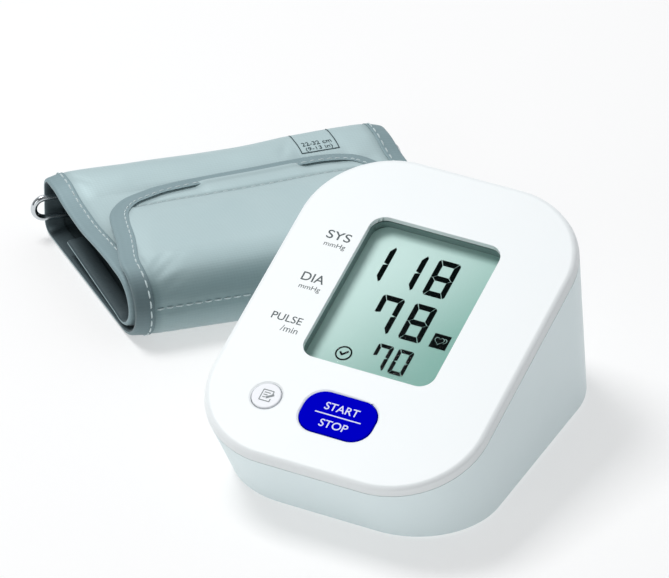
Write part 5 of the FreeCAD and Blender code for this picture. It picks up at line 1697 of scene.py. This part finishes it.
    def stitching(self) -> None:
        """Sewing thread along the tape, across the flap and along the front crease."""
        stitches = []
        depth = self.tape_width - self.stitch_inset
        high = self.thick(depth) + self.tape_lift + self.tape_sheet + self.stitch_lift
        for count in range(1, int(self.edge_length / self.stitch_pitch) - 1):
            start = count * self.stitch_pitch
            stitches.append([(*self.inward((start + shift) / self.edge_length, depth), high)
                             for shift in (0.0, self.stitch)])
        margin = self.crease_margin
        lines = ((self.seam, *self.seam_ends, 0.0),
                 (lambda a: self.crease_place, margin, self.length - margin, self.crease_rise))
        for line, low, top, rise in lines:
            for count in range(int((top - low) / self.stitch_pitch)):
                a = low + count * self.stitch_pitch
                stitches.append([(end, line(end), self.half + self.strip(end, line(end)) + rise)
                                 for end in (a, a + self.stitch)])
        piece = join([self.one_stitch(*ends) for ends in stitches], "cuff_stitching")
        self.finished(piece, THREAD)
        LOG.info("sewed %d stitches", len(stitches))

    def one_stitch(self, start: Triple, end: Triple) -> Piece:
        """One stitch that dips into the cloth at both ends.

        Args:
            start: place on the sheet and offset of the first end.
            end: place on the sheet and offset of the other end.

        Returns:
            The stitch as a small rounded bar.
        """
        first, last = self.point(*start), self.point(*end)
        halfway = [(x + y) / 2 for x, y in zip(start, end)]
        middle = self.point(*halfway)
        up = (self.point(*halfway[:2], halfway[2] + 1) - middle).normalized()
        side = up.cross((last - first).normalized())

        def place(round_it: float, along: float) -> Vector:
            """A point of the thread's skin."""
            angle = round_it * 2 * math.pi
            thick = self.thread * math.sin(math.pi * (0.08 + 0.84 * along)) ** 0.5
            rise = thick * math.cos(angle) - 0.3 * (2 * along - 1) ** 4
            line = first.lerp(last, along) + (middle - (first + last) / 2) * (1 - (2 * along - 1) ** 2)
            return line + (side * thick * math.sin(angle) + up * rise) * MM

        def flat(round_it: float, along: float) -> Pair:
            """Flat measures of the thread in metres."""
            return round_it * MM, along * self.stitch * MM

        return swept_sheet("stitch", 6, 5, place, flat)

    def size_label(self) -> None:
        """The printed size: a plain box with the arm sizes that the cuff fits."""
        lines = [(-7.2, -5.6, 7.2, -5.25)]
        lines += [(side - 0.18, -5.6 + step, side + 0.18, -4.6 + step)
                  for side in (-7.0, 7.0) for step in range(11)]
        box = [plate("line", rectangle(*line), self.label_sheet) for line in lines]
        for text, size, low in (("22-32 cm", (11.0, 2.0), -1.3), ("(9-13 in)", (10.0, 2.0), -4.1)):
            line = words(text, size, self.label_sheet)
            line.data.transform(Matrix.Translation((0, low * MM, 0)))
            box.append(line)
        piece = join(box, "cuff_size_label")
        for vertex in piece.data.vertices:
            a, t = self.label_a + vertex.co.x / MM, self.top_start + self.label_drop - vertex.co.y / MM
            vertex.co = self.point(a, t, self.half + 0.1 + vertex.co.z / MM)
        self.finished(piece, PRINT_CLOTH)

    def webbing(self) -> None:
        """The black webbing looped round the ring's lower bar and sewn to the lining."""
        self.finished(merged_copy(self.frame["nodes"]["cuff_ring_webbing"], "cuff_ring_strap"), WEBBING,
                      "cuff_ring_webbing")

    def hook_patch(self) -> None:
        """The hook patch under the flap."""
        long = self.length - 2 * self.hook_margin

        def place(row: float, column: float) -> Vector:
            """A point of the patch for two shares."""
            a, t = self.hook_margin + long * column, self.hook_start + self.hook_width * row
            return self.point(a, t, -self.half - 0.1)

        def flat(row: float, column: float) -> Pair:
            """The same point's flat measures in metres."""
            return long * column * MM, self.hook_width * row * MM

        piece = swept_sheet("cuff_hook_field", 12, 30, place, flat)
        add_modifier(piece, "SOLIDIFY", thickness=self.hook_sheet * MM, offset=-1.0)
        self.finished(piece, HOOK_TAPE, "cuff_hook_patch")


def main() -> None:
    """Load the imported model, build studio, desk unit and cuff, and note the sizes."""
    logging.basicConfig(level=logging.INFO, format="%(message)s")
    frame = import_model()
    Studio().build()
    DeskUnit(frame).build()
    ArmCuff(frame).build()


if __name__ == "__main__":
    main()
